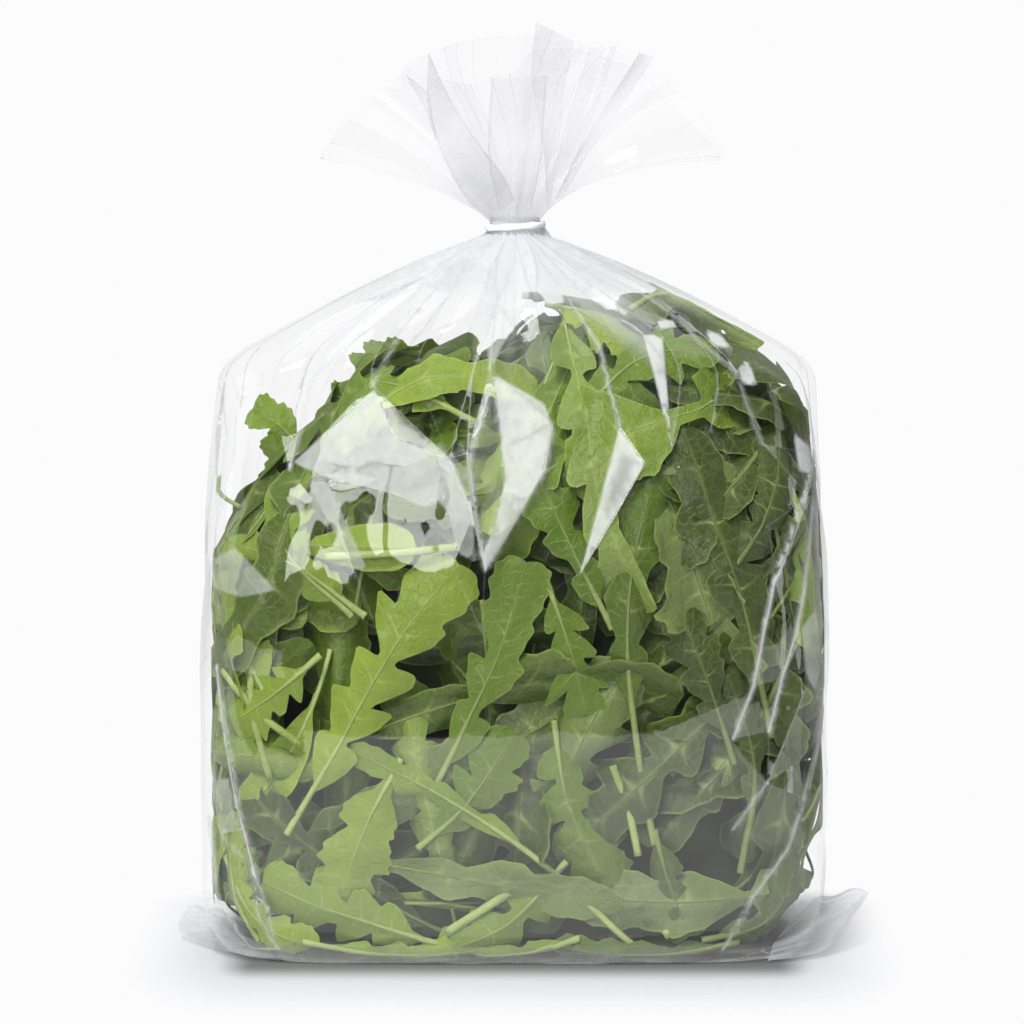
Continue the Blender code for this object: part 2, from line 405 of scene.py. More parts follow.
class Sheets:
    """Collects the points, faces, stem ends and shading values of many leaves into one mesh."""

    TITLES = ("tone", "vein", "stem", "under", "edge")

    def __init__(self):
        self.points, self.faces, self.values, self.caps, self.count = [], [], [], [], 0

    def grid(self, points, values, closed=False):
        self.faces += quads(points.shape[:2], self.count, closed)
        self.points.append(points.reshape(-1, 3))
        self.values.append(values.reshape(-1, len(self.TITLES)))
        self.count += len(self.points[-1])

    def build(self, name, material):
        looks = dict(zip(self.TITLES, np.concatenate(self.values).T))
        return mesh_object(name, np.concatenate(self.points), self.faces + self.caps, material, **looks)


class Inside:
    """Keeps points inside the film, a little off it."""

    GAP = 0.9 * MM
    LEFT_GAP = 1.6 * MM
    FLOOR, CEILING = 1.0 * MM, 214 * MM
    GUSSET_REACH = 23 * MM

    def __init__(self):
        self.z = np.linspace(0, NECK_BOTTOM, 260)
        self.wide = np.array([half_width_at(z) for z in self.z])
        self.deep = np.array([half_depth_at(z) for z in self.z])

    def keep(self, points):
        x, y = points[..., 0], points[..., 1]
        z = np.clip(points[..., 2], self.FLOOR, self.CEILING)
        wide, deep = np.interp(z, self.z, self.wide), np.interp(z, self.z, self.deep)
        power = corner_power(deep)
        gusset = GUSSET_DEPTH * smoothstep(GUSSET_START, FOLDS_FULL, z)
        gusset = gusset * np.exp(-((y / self.GUSSET_REACH) ** 2))
        wide = np.maximum(wide - self.GAP - gusset - self.LEFT_GAP * (x < 0), 1 * MM)
        deep = np.maximum(deep - self.GAP, 1 * MM)
        reach = (np.abs(x / wide) ** power + np.abs(y / deep) ** power) ** (1 / power)
        shrink = 1 / np.maximum(reach, 1.0)
        return np.stack([x * shrink, y * shrink, z], axis=-1)


def lobe_shapes(look, side):
    """The lobes on one side of a blade: where each one's middle lies, its height and its spread."""
    rng = np.random.default_rng(look["seed"] + (side > 0))
    count = look["lobes"]
    step = 0.66 / count
    for k in range(count):
        centre = 0.10 + step * (k + 0.5 + rng.uniform(-0.18, 0.18))
        tall = (0.50 + 0.5 * (k + 1) / count) * rng.uniform(0.75, 1.1)
        yield centre, tall, step * rng.uniform(0.42, 0.60)


def blade_half_width(share, look, side):
    """Half width of a rocket leaf's blade, 0 to 1: rounded lobes on a narrow strip, then a broad end lobe."""
    body = np.interp(share, [0, 0.1, 0.6, 0.8, 0.93, 1], [0.10, 0.30, 0.78, 0.9, 0.5, 0.0])
    width = (1 - look["lobe_depth"]) * body
    for centre, tall, spread in lobe_shapes(look, side):
        u = (share - centre) / spread
        u = np.where(u < 0, u / 1.3, u / 0.75)
        bump = tall * np.clip(1 - np.abs(u) ** look["point"], 0, None) ** 0.75
        width = (width**4 + bump**4) ** (1 / 4)
    u = (share - look["end_centre"]) / np.where(share < look["end_centre"], 0.17, 1.001 - look["end_centre"])
    end = look["end_size"] * np.clip(1 - np.abs(u) ** 2.0, 0, None) ** 0.6
    width = (width**4 + end**4) ** (1 / 4)
    teeth = 1 + 0.06 * np.sin(share * 71 + look["seed"] + side) * smoothstep(0.35, 0.8, width)
    return np.maximum(width * teeth, 0.02)


def lateral_veins(share, look, side):
    """1 at the rows that run to the middle of a lobe."""
    rows = np.zeros(len(share))
    for centre, _, _ in lobe_shapes(look, side):
        rows[np.argmin(np.abs(share - centre))] = 1
    rows[np.argmin(np.abs(share - look["end_centre"] - 0.02))] = 0.7
    return rows


def spline(points, count):
    """A smooth curve through a few points, at even steps."""
    points = np.array(points, float)
    padded = np.concatenate([[2 * points[0] - points[1]], points, [2 * points[-1] - points[-2]]])
    dense = []
    for a, b, c, d in zip(padded, padded[1:], padded[2:], padded[3:]):
        for t in np.linspace(0, 1, 24, endpoint=False):
            square, cube = 2 * a - 5 * b + 4 * c - d, 3 * b - a - 3 * c + d
            dense.append(0.5 * (2 * b + (c - a) * t + square * t**2 + cube * t**3))
    dense = np.array([*dense, padded[-2]])
    run = np.concatenate([[0], np.cumsum(np.linalg.norm(np.diff(dense, axis=0), axis=1))])
    spots = np.linspace(0, run[-1], count)
    return np.stack([np.interp(spots, run, dense[:, k]) for k in range(dense.shape[1])], axis=1)


def walked_path(surface, spot, heading, length, bend, rows):
    """A midrib that runs over the heap from a spot, turning steadily."""
    path = []
    normal = surface.nearest(spot)[1]
    heading = (heading - normal * heading.dot(normal)).normalized()
    pace = length / (rows - 1)
    for i in range(rows):
        path.append((spot.copy(), normal.copy(), heading.copy()))
        turn = bend * pace * (1 + 0.8 * math.sin(5 * i / rows + bend))
        heading = Matrix.Rotation(turn, 3, normal) @ heading
        spot, normal, heading = surface.step(spot, heading, pace)
    return path


def drawn_path(surface, points, rows):
    """A midrib through places on the front wall, given as x and z in mm."""
    flat = spline([(x * MM, z * MM) for x, z in points], rows)
    spots = [surface.from_front(x, z) for x, z in flat]
    path = []
    for i, (spot, normal) in enumerate(spots):
        ahead = spots[min(i + 1, rows - 1)][0] - spots[max(i - 1, 0)][0]
        heading = (ahead - normal * ahead.dot(normal)).normalized()
        path.append((spot, normal, heading))
    return path


def leaf(sheets, surface, inside, path, length, look):
    """One leaf along a path on the heap: a lobed, waved blade and a tapering stem that is its midrib."""
    rows = len(path)
    share = np.linspace(0, 1, rows)
    stalk, widest = look["stalk"], look["half_width"]
    blade_share = np.clip((share - stalk) / (1 - stalk), 0, 1)
    first = max(int(stalk * (rows - 1)) - 1, 0)
    depth = np.interp(share, [0, 0.33, 0.7, 1], look["depths"])
    twist = look["roll"] * np.cos(share * look["twist"] + look["seed"])
    columns = look["columns"]
    across = np.linspace(0, 1, columns + 1)[1:] ** 0.9
    blade, veins = {}, {}
    for side in (-1, 1):
        half = widest * blade_half_width(blade_share, look, side)
        phase = 2 * math.pi * share * length / look["wave_length"] + side * 1.3 + look["seed"]
        wave = look["wave"] * np.sin(phase)
        grid = np.zeros((rows, columns, 3))
        for i in range(first, rows):
            here, up, heading = path[i]
            direction = (up.cross(heading) * side + heading * look["sweep"]).normalized()
            last = 0.0
            for j in range(columns):
                here, up, direction = surface.step(here, direction, half[i] * (across[j] - last))
                last = across[j]
                reach = across[j] * half[i] / widest
                lift = look["cup"] * reach**2 + look["curl"] * reach**4 + wave[i] * reach**1.5
                lift -= look["fold"] * reach * widest
                lift += side * twist[i] * reach * widest
                grid[i, j] = here - up * (depth[i] - lift)
        blade[side] = grid
        veins[side] = lateral_veins(blade_share, look, side)[:, None] * (1 - 0.75 * across)[None]
    middle = np.array([spot - normal * d for (spot, normal, _), d in zip(path, depth)])
    full = np.concatenate([blade[-1][:, ::-1], middle[:, None], blade[1]], axis=1)[first:]
    vein = np.concatenate([veins[-1][:, ::-1], np.ones((rows, 1)), veins[1]], axis=1)[first:]
    vein[:, columns] = np.interp(share[first:], [0, 0.85, 1], [1, 0.8, 0.3])
    flat = np.ones(vein.shape)
    # the edge rows carry the pale rim, a painted highlight of lit edges
    rim = np.zeros(vein.shape)
    rim[:, (0, -1)] = 1
    values = np.stack([flat * look["tone"], vein, 0 * flat, flat * look["under"], rim], axis=-1)
    sheets.grid(inside.keep(full), values)
    stem_tube(sheets, inside, path, depth, look["stem_radius"], stalk, look["tone"])


def stem_tube(sheets, inside, path, depth, radius, stalk, tone, sides=6, taper=True):
    """The stem and midrib: a tube that thins towards the leaf's tip, with a flat cut end."""
    rows = len(path)
    share = np.linspace(0, 1, rows)
    sizes = [1.1, 0.95, 0.42, 0.10] if taper else [1, 1, 1, 1]
    size = radius * np.interp(share, [0, stalk, min(stalk + 0.3, 0.9), 1], sizes)
    middle = [spot - normal * (d - 0.1 * r) for (spot, normal, _), d, r in zip(path, depth, size)]
    centres = inside.keep(np.array(middle))
    ring = np.zeros((rows, sides, 3))
    for i, (_, normal, heading) in enumerate(path):
        sideways = normal.cross(heading)
        centre = Vector(centres[i]) - normal * max(size[i] - 0.5 * MM, 0)
        for k in range(sides):
            turn = 2 * math.pi * k / sides
            aside, rise = size[i] * math.cos(turn), 0.8 * size[i] * math.sin(turn)
            ring[i, k] = centre + sideways * aside + normal * rise
    pale = np.interp(share, [0, stalk, min(stalk + 0.3, 0.95), 1], [1.0, 0.9, 0.55, 0.3])
    values = np.zeros((rows, sides, len(sheets.TITLES)))
    values[..., 0] = tone
    values[..., 2] = pale[:, None]
    start, end = sheets.count, sheets.count + (rows - 1) * sides
    sheets.grid(ring, values, closed=True)
    sheets.caps.append(tuple(range(start + sides - 1, start - 1, -1)))
    sheets.caps.append(tuple(range(end, end + sides)))


def random_look(rng, layer):
    """A leaf's looks, drawn at random; deeper layers lie further in, and painted shade darkens their tone."""
    base = (1.2 + 5.5 * layer) * MM
    slope = 6.5 * MM
    wide = rng.uniform(8.5, 14.5) * MM
    return {
        "seed": int(rng.integers(1, 10**6)),
        "stalk": rng.uniform(0.06, 0.22),
        "depths": [
            base + rng.uniform(3, 10) * MM,
            base + slope * rng.uniform(0.2, 1.2),
            base + slope * rng.uniform(-0.3, 0.9),
            base + slope * rng.uniform(-0.2, 1.8),
        ],
        "columns": 4,
        "half_width": wide,
        "lobes": int(rng.integers(2, 5)),
        "lobe_depth": rng.uniform(0.45, 0.85),
        "end_centre": rng.uniform(0.80, 0.88),
        "end_size": rng.uniform(0.6, 0.95),
        "point": rng.uniform(1.6, 2.8),
        "wave": rng.uniform(0.6, 2.4) * MM,
        "wave_length": rng.uniform(20, 38) * MM,
        "sweep": rng.uniform(0.25, 0.75),
        "cup": rng.uniform(-5.0, 3.0) * MM,
        "curl": rng.choice((-7, 0, 0, 5)) * MM,
        "roll": rng.uniform(0.0, 0.7),
        "fold": rng.uniform(-0.15, 0.5),
        "twist": rng.uniform(1.0, 4.0),
        # painted shade: the middle and inner layers get a darker tone
        "tone": float(np.clip(rng.normal(0.44, 0.30), 0, 1)) * (1, 0.8, 0.6)[layer],
        "under": float(rng.random() < 0.28),
        "stem_radius": rng.uniform(0.5, 0.9) * MM,
    }


def painted_side_shade(spot):
    """What a leaf's tone is multiplied by: painted shade at the right and painted light at the left."""
    darker = 0.95 * smoothstep(0, 58 * MM, spot[0]) * (spot[2] < 180 * MM)
    return 1 - darker + 0.30 * smoothstep(30 * MM, 60 * MM, -spot[0])


# The layers of scattered leaves: how many leaves each has, and how many rows of points run across a leaf.
LEAF_LAYERS = (("leaves_outer", 120, 56), ("leaves_middle", 155, 44), ("leaves_inner", 190, 30))


def scattered_path(surface, rng, rows):
    """A midrib anywhere on the heap, mostly upright, with its length."""
    turn = rng.uniform(0, 2 * math.pi)
    height = rng.uniform(4 * MM, HEAP_TOP + 45 * MM)
    aim = Vector((math.cos(turn) * BODY_WIDTH, math.sin(turn) * BODY_DEPTH, height))
    spot, normal = surface.nearest(aim)
    lean = rng.normal(0, 0.8) + math.pi * (rng.random() < 0.5)
    up = Vector((0, 0, 1)) - normal * normal.z
    if up.length < 0.1:
        up = Vector((1, 0, 0))
    up.normalize()
    heading = up * math.cos(lean) + normal.cross(up) * math.sin(lean)
    length = rng.uniform(75, 130) * MM
    spot = surface.nearest(spot - heading * (length / 2))[0]
    return walked_path(surface, spot, heading, length, rng.uniform(-11, 11), rows), length


def scattered_leaves(surface, inside, material):
    """Three layers of leaves, all over the heap; those on its top stand up from it."""
    rng = np.random.default_rng(SEED)
    made = []
    for layer, (name, count, rows) in enumerate(LEAF_LAYERS):
        sheets = Sheets()
        while count:
            path, length = scattered_path(surface, rng, rows)
            # a leaf that would wrap round the heap's lower edge is drawn anew
            if min(p[1].z for p in path) < -0.5 and max(p[0].z for p in path) > 12 * MM:
                continue
            count -= 1
            look = random_look(rng, layer)
            # painted shade darkens the tone at the right, painted light brightens it at the left
            look["tone"] *= painted_side_shade(path[0][0])
            top = max((p[0] for p in path), key=lambda spot: spot.z)
            if layer == 0 and top.z > 165 * MM and rng.random() < 0.6:
                rise = rng.uniform(2, 12 if top.x > 0 else 4) * MM
                look["depths"][int(rng.integers(2, 4))] -= rise
            leaf(sheets, surface, inside, path, length, look)
        made.append(sheets.build(name, material))
    return made


HERO_LEAVES = (
    # places along the midrib from the cut end to the tip (x, z in mm), half width, stalk, lobes, lobe depth,
    # tone
    (((43, 37), (38, 65), (34.5, 98), (36.5, 126), (43, 152)), 10.5, 0.36, 3, 0.32, 0.85),
    (((80, 70), (70, 112), (60, 141), (52, 166)), 13.5, 0.12, 3, 0.5, 0.75),
    (((-71, 40), (-56, 65), (-44, 87), (-32, 106), (-17, 124)), 15, 0.12, 4, 0.70, 0.85),
    (((-25, 54), (-14, 77), (-4.5, 98), (3.5, 125)), 12, 0.10, 3, 0.5, 0.6),
    (((37, 5), (17, 24), (1.5, 37), (-23, 53), (-51, 67)), 6.5, 0.42, 3, 0.3, 0.8),
    (((-20, 5), (-41, 12), (-60, 18), (-79, 25)), 15, 0.1, 3, 0.6, 0.7),
    (((-35, 64), (-46, 43), (-54, 20)), 14, 0.10, 2, 0.35, 0.8),
    (((12, 76), (16, 52), (28, 24)), 13.5, 0.08, 3, 0.68, 0.75),
    (((43, 42), (47, 27), (54, 9)), 9, 0.1, 2, 0.4, 0.85),
    (((68, 62), (60, 86), (50, 112)), 10, 0.15, 3, 0.45, 0.4),
    (((-76, 80), (-84, 98), (-90, 121)), 14, 0.08, 2, 0.25, 0.8),
    (((-46, 108), (-68, 124), (-90, 131)), 9, 0.1, 3, 0.35, 0.65),
    (((-50, 108), (-71, 130), (-66, 155)), 10, 0.1, 3, 0.5, 0.6),
    (((9, 121), (17, 98), (22, 78)), 13, 0.1, 3, 0.6, 0.7),
    (((30, 104), (18, 128), (4, 158)), 8.5, 0.1, 3, 0.4, 0.6),
    (((-12, 168), (-35, 178), (-60, 180)), 10, 0.12, 3, 0.5, 0.75),
    (((16, 32), (-2, 13), (-22, 4)), 11, 0.1, 2, 0.55, 0.7),
    (((70, 28), (74, 60), (66, 90)), 9, 0.3, 3, 0.4, 0.4),
    (((64, 118), (78, 140), (84, 165)), 12, 0.12, 3, 0.5, 0.25),
    (((18, 168), (38, 186), (62, 190)), 11, 0.12, 3, 0.5, 0.6),
    (((-30, 36), (-15, 50), (0, 72)), 12, 0.12, 3, 0.5, 0.55),
    (((-60, 96), (-74, 84), (-88, 74)), 11, 0.12, 3, 0.5, 0.7),
    (((0, 148), (22, 160), (40, 178)), 11, 0.12, 3, 0.55, 0.42),
    # the leaves along the foot: their tone is raised as painted light, where the foot lies in shade
    (((-66, 5), (-36, 2.5), (-6, 4)), 8, 0.08, 3, 0.4, 0.95),
    (((70, 5), (44, 2.5), (12, 4)), 8, 0.08, 3, 0.4, 1.3),
    (((20, 8), (2, 3), (-22, 2.5)), 7, 0.08, 2, 0.4, 0.9),
    (((58, 7), (78, 13), (90, 32)), 9, 0.08, 3, 0.4, 0.6),
    (((-80, 4), (-87, 20), (-89, 46)), 9, 0.1, 2, 0.3, 1.15),
    (((-92, 32), (-80, 13), (-62, 4)), 9, 0.08, 3, 0.5, 0.8),
    (((10, 205), (22, 200), (36, 191)), 8, 0.08, 2, 0.3, 1.0),
)

HERO_STEMS = (
    # places along a bare stem (x, z in mm) and its radius in mm
    (((-58, 127), (-37, 128), (-17, 130)), 1.2),
    (((-21, 10), (-7, 19), (6, 28)), 1.4),
    (((46, 9), (55, 14), (63, 21)), 1.6),
    (((38, 34), (35, 48), (30, 62)), 1.2),
    (((-81, 102), (-82, 80), (-76, 57)), 1.2),
    (((-92, 90), (-80, 78), (-66, 68)), 1.2),
)


# Leaf tips and a thin stalk that stand clear of the heap at the left, and the same numbers.
CLEAR_LEAVES = (
    (((-58, 148), (-67, 157), (-74, 164), (-82, 169)), 7, 0.1, 2, 0.5, 0.55),
    (((-60, 140), (-72, 150), (-76, 161)), 6, 0.1, 2, 0.45, 0.45),
    (((-36, 172), (-46, 171), (-57, 173)), 6.5, 0.1, 3, 0.5, 0.6),
    (((-30, 186), (-39, 187), (-50, 182)), 6, 0.1, 2, 0.4, 0.5),
    (((36, 200), (46, 205), (60, 201), (76, 188)), 7, 0.1, 2, 0.4, 0.85),
)
CLEAR_STEMS = ((((-95, 148), (-92, 142), (-86, 138)), 0.7),)


def hero_leaves(surface, inside, material):
    """The leaves that show plainly on the front, one by one."""
    rng = np.random.default_rng(SEED + 1)
    sheets = Sheets()
    upright = Upright(-12 * MM)
    drawn = [(surface, *hero) for hero in HERO_LEAVES] + [(upright, *hero) for hero in CLEAR_LEAVES]
    for ground, places, half_width, stalk, lobes, lobe_depth, tone in drawn:
        path = drawn_path(ground, places, 84)
        length = sum((b[0] - a[0]).length for a, b in zip(path, path[1:]))
        look = random_look(rng, 0)
        look.update(
            columns=7,
            half_width=half_width * MM,
            stalk=stalk,
            lobes=lobes,
            lobe_depth=lobe_depth,
            # painted shade darkens the tone at the right, painted light brightens it at the left
            tone=tone * painted_side_shade(path[42][0]),
            under=0.0,
            depths=[d * MM for d in (2.6, 1.0, 0.6, rng.uniform(1, 4))],
            cup=rng.uniform(-3.4, 1.0) * MM,
            curl=rng.choice((-3.5, 0, 1.5)) * MM,
            roll=rng.uniform(0.0, 0.12),
            fold=rng.uniform(0.10, 0.30),
            wave=rng.uniform(0.8, 2.0) * MM,
            stem_radius=1.1 * MM,
        )
        leaf(sheets, ground, inside, path, length, look)
    drawn = [(surface, *stem) for stem in HERO_STEMS] + [(upright, *stem) for stem in CLEAR_STEMS]
    for ground, places, radius in drawn:
        path = drawn_path(ground, places, 18)
        depth = np.full(18, radius * MM + 0.4 * MM)
        stem_tube(sheets, inside, path, depth, radius * MM, 0.5, 0.8, sides=8, taper=False)
    return sheets.build("leaves_front", material)


def core(material):
    """The inside of the heap: a dark sheet for the leaves deep inside, its colour painted shade."""
    return mesh_object("leaf_core", *heap_mesh(inset=CORE_INSET, around=96, up=60), material)


# ---------------------------------------------------------------- the film

FILM_ROUND = 1440
WALL_ROWS = 110
SHOULDER = 180 * MM
# The wall is unrolled to this many mm, whatever its girth, and stretched this much upwards near the neck.
AROUND = 570.0
FULL_STRETCH = 2.0
STRETCHED = (175 * MM, 210 * MM)
# How far the facets' own zero lies inside the wall, and how close the points on the unrolled wall lie, in mm.
FILM_SUNK = 0.45
CREASE_STEP = 1.5
FILL_STEP = 1.85
FILL_CELL = 0.9


class Wall:
    """The bag's smooth outer wall, read at a share of the way round (from the back, past -X) and a height."""

    def __init__(self):
        self.heights = np.concatenate([
            np.linspace(0, SHOULDER, WALL_ROWS),
            np.linspace(SHOULDER, NECK_TOP, WALL_ROWS)[1:],
        ])
        self.table = np.stack([self.ring(h) for h in self.heights])
        closed = np.concatenate([self.table[:, -1:], self.table, self.table[:, :1]], axis=1)
        across = closed[:, 2:] - closed[:, :-2]
        along = np.gradient(self.table, self.heights, axis=0)
        normal = np.cross(across, along)
        self.normals = normal / np.linalg.norm(normal, axis=2, keepdims=True)
        stretch = 1 + (FULL_STRETCH - 1) * smoothstep(*STRETCHED, self.heights)
        steps = np.diff(self.heights) * (stretch[1:] + stretch[:-1]) / 2
        self.unrolled = np.concatenate([[0], np.cumsum(steps)]) / MM

    def ring(self, height):
        half_depth = half_depth_at(height)
        ring = rounded_box_ring(half_width_at(height), half_depth, corner_power(half_depth), FILM_ROUND)
        ring = np.roll(ring, -FILM_ROUND // 4, axis=0)
        room = half_depth - NECK_DEPTH / 2
        share = np.arange(FILM_ROUND) / FILM_ROUND
        for side in (0.25, 0.75):
            off = (share - side) * 2 * math.pi
            depth = min(GUSSET_DEPTH * smoothstep(GUSSET_START, FOLDS_FULL, height), 0.3 * room)
            ring -= outward(ring) * (depth * np.exp(-((off / GUSSET_WIDTH) ** 2)))[:, None]
        return np.column_stack([ring, np.full(FILM_ROUND, height)])

    def place(self, share, height, off):
        row = np.interp(height, self.heights, np.arange(len(self.heights)))
        row = np.clip(row, 0, len(self.heights) - 1.001)
        column = (share % 1.0) * FILM_ROUND
        i, j = row.astype(int), column.astype(int) % FILM_ROUND
        a, b = (row - i)[:, None], (column - np.floor(column))[:, None]
        k = (j + 1) % FILM_ROUND

        def mixed(table):
            low, high = (table[r, j] * (1 - b) + table[r, k] * b for r in (i, i + 1))
            return low * (1 - a) + high * a

        return mixed(self.table) + mixed(self.normals) * np.asarray(off)[:, None]

    def share_at_front(self, x, height):
        row = np.argmin(np.abs(self.heights - height))
        quarter = FILM_ROUND // 4
        xs = self.table[row, quarter : 3 * quarter + 1, 0]
        return float(np.interp(x, xs, 0.25 + np.arange(len(xs)) / FILM_ROUND))

    def flat(self, share, height):
        """Where a share and a height lie on the unrolled wall, in mm."""
        return (share * AROUND, float(np.interp(height, self.heights, self.unrolled)))

    def height_of(self, unrolled):
        return np.interp(unrolled, self.unrolled, self.heights)

    def perimeter(self, height):
        row = self.table[np.argmin(np.abs(self.heights - height))]
        return np.linalg.norm(np.diff(row, axis=0), axis=1).sum() / MM


# Creases on the front: x, z and how far the film stands off, in mm, along each one.
FRONT_CREASES = (
    # the large bright facet on the left
    ((-69, 153, 0.6), (-44, 178, 3.4), (-20, 156, 3.2), (-13, 139, 3.2),
     (-19, 124, 2.9), (-35, 117, 1.6), (-53, 134, 0.9), (-69, 153, 0.6)),
    ((-44, 178, 3.4), (-34, 150, 2.2), (-19, 124, 2.9)),
    ((-69, 153, 0.6), (-34, 150, 2.2)),
    # the tall bright facet in the middle, under the central pleat
    ((-7.6, 182.5, 2.8), (11.6, 166, 3.6), (9.2, 153, 3.0),
     (-9.1, 123, 1.4), (-14.6, 158, 0.0), (-7.6, 182.5, 2.8)),
    ((-7.6, 182.5, 2.8), (-2, 160, 1.5), (-9.1, 123, 1.4)),
    ((-14.6, 158, 0.0), (-10.5, 141, 0.6), (-9.1, 123, 1.4)),
    # the slim bright facet right of the middle
    ((32, 166, 1.5), (39.7, 155, 2.1), (20, 122, 0.2), (32, 166, 1.5)),
    # the thin upright one further right
    ((40, 193, 0.3), (45, 193, 1.4), (48, 160, 1.3), (40, 193, 0.3)),
    # pleats that run up to the neck
    ((-6.0, 222, 0.0), (-11, 203, 1.5), (-13, 182, 1.0), (-14.6, 158, 0.0)),
    ((-3.0, 222, 0.4), (-5.5, 203, 0.2), (-7.6, 182.5, 2.8)),
    ((0.5, 222, 0.0), (6, 203, 2.4), (9, 184, 2.8), (11.6, 166, 3.6)),
    ((3.5, 222, 0.5), (16, 205, 0.2), (26, 190, 0.3), (32, 166, 1.5)),
    ((5.2, 222, 0.0), (24, 207, 2.0), (45, 193, 1.4)),
    ((4.8, 222, 0.3), (21, 206, 0.3), (40, 193, 0.3)),
    ((6.6, 222, 0.4), (36, 205, 0.2), (58, 190, 0.3), (60, 165, 0.3)),
    ((7.3, 222, 0.0), (44, 203, 1.7), (68, 182, 1.4), (76, 160, 1.2), (78, 136, 0.3)),
    ((-7.4, 222, 0.0), (-28, 207, 1.9), (-44, 178, 3.4)),
    ((-7.0, 222, 0.4), (-20, 206, 0.2), (-30, 186, 0.5), (-20, 156, 3.2)),
    ((-7.6, 221, 0.4), (-40, 204, 0.2), (-62, 180, 0.3), (-69, 153, 0.6)),
    ((-7.6, 220, 0.0), (-48, 202, 1.8), (-74, 178, 1.5), (-86, 156, 1.2), (-92, 132, 0.8)),
    # the flat front below, and folds at its foot
    ((-35, 117, 1.6), (-40, 100, 0.0)),
    ((-19, 124, 2.9), (-10, 104, 0.0)),
    ((20, 122, 0.2), (22, 103, 0.05)),
    ((48, 160, 1.3), (56, 128, 0.9), (50, 104, 0.1)),
    ((-92, 92, 0.4), (-85, 50, 1.8), (-79.5, 28, 1.6), (-72.5, 5, 0.5)),
    ((-91, 40, 0.1), (-87, 24, 0.1), (-72.5, 5, 0.5)),
    ((-88, 45.5, 1.0), (-83.5, 42.5, 0.2), (-79.5, 28, 1.6)),
    ((-93, 23, 1.0), (-83.5, 4, 0.4)),
    ((-72.5, 5, 0.5), (-50, 9, 1.1), (-20, 10, 0.8), (10, 8, 1.1), (40, 10, 0.9), (64, 5, 0.4)),
    # long slanting creases on the right
    ((93, 156, 0.3), (89, 144, 1.9), (79, 118, 1.6), (76, 104, 1.2), (73, 87, 0.5), (67, 71, 0.1)),
    ((92, 141, 0.2), (89, 116, 0.1), (85.5, 100, 0.2), (82, 89, 0.1), (78, 73, 0.3)),
    ((94, 98, 1.6), (88, 84, 1.4), (77, 57, 1.5), (67, 43, 0.2)),
    ((95, 71, 0.2), (89, 51, 1.7), (84, 36, 0.4), (73, 22, 1.5), (64, 5, 0.4)),
    ((93, 30, 1.2), (86, 16, 0.2), (76, 4, 1.0)),
    # the left corner of the shoulder, and the bright patch under it
    ((-83.5, 188, 0.6), (-91, 163, -1.6), (-94, 122, -0.2)),
    ((-94, 122, -0.2), (-89, 131, 1.5), (-76, 113, 1.3), (-92, 116, 0.2)),
)
# Facets painted whiter than the clear film round them, a painted highlight over what they mirror: how
# milky, and the outline as x and z.
PAINTED_HIGHLIGHT_FACETS = (
    (0.54, (-68, 155), (-43, 177.5), (-37, 163), (-18.5, 155.5),
     (-16, 147), (-28, 142), (-38, 146), (-59, 151)),
    (0.44, (-18.5, 155), (-12.5, 140), (-12.5, 126), (-17, 128), (-21, 141), (-26, 148)),
    (0.34, (-64, 150), (-57, 149), (-45, 123), (-49, 123)),
    (0.70, (-7.6, 182.5), (-7.4, 178.5), (-9.8, 167.5), (-14.6, 156)),
    (0.64, (-7.2, 182), (9, 173), (11.4, 166), (8, 151), (-9.1, 123),
     (-10, 128), (-7.3, 133), (-3, 150), (-4.2, 162), (-5.9, 176)),
    (0.68, (32, 166), (39.7, 155), (20, 122), (27, 148)),
    (0.90, (40, 193), (45.5, 193), (48, 160)),
    (0.85, (9, 210), (7, 207), (10.3, 202.5), (15.3, 203), (13.5, 207)),
    (0.85, (19, 206), (22, 208.3), (27, 208), (30, 206), (26, 204.6), (22, 204.8)),
    (0.95, (44, 197.3), (48.5, 198), (50, 195.5), (45, 195)),
    (0.95, (59, 194.5), (64, 193), (66.5, 189), (61, 190)),
    (0.95, (69, 183), (72, 186), (74.5, 178), (70, 178.5)),
    (0.95, (86, 163), (92, 158), (91.5, 150.5), (87.5, 152)),
    (0.30, (-5.5, 221), (5, 215), (4.5, 205), (-4, 190), (-7.6, 182.5), (-10, 200)),
    (0.45, (88, 104), (93, 110), (95, 92), (92.5, 84), (89.5, 90)),
    (0.33, (-94, 124), (-86, 129), (-73, 116.6), (-84, 114), (-93, 116)),
    (0.35, (-93.5, 56), (-88, 58), (-86, 42), (-91, 40)),
)
# Facets painted greyer, where painted shade takes most of the mirror away, so that the leaves show plainly
# through them.
PAINTED_SHADE_FACETS = (
    ((-7.4, 178.5), (-9.8, 167.5), (-14.2, 155), (-12.4, 140), (-10, 128),
     (-7.3, 133), (-3, 150), (-4.2, 162), (-5.9, 176)),
    ((-38, 177), (-14, 173), (-17, 158), (-28, 163), (-36, 168)),
    ((33, 158), (37, 156), (27, 136), (29, 148)),
)

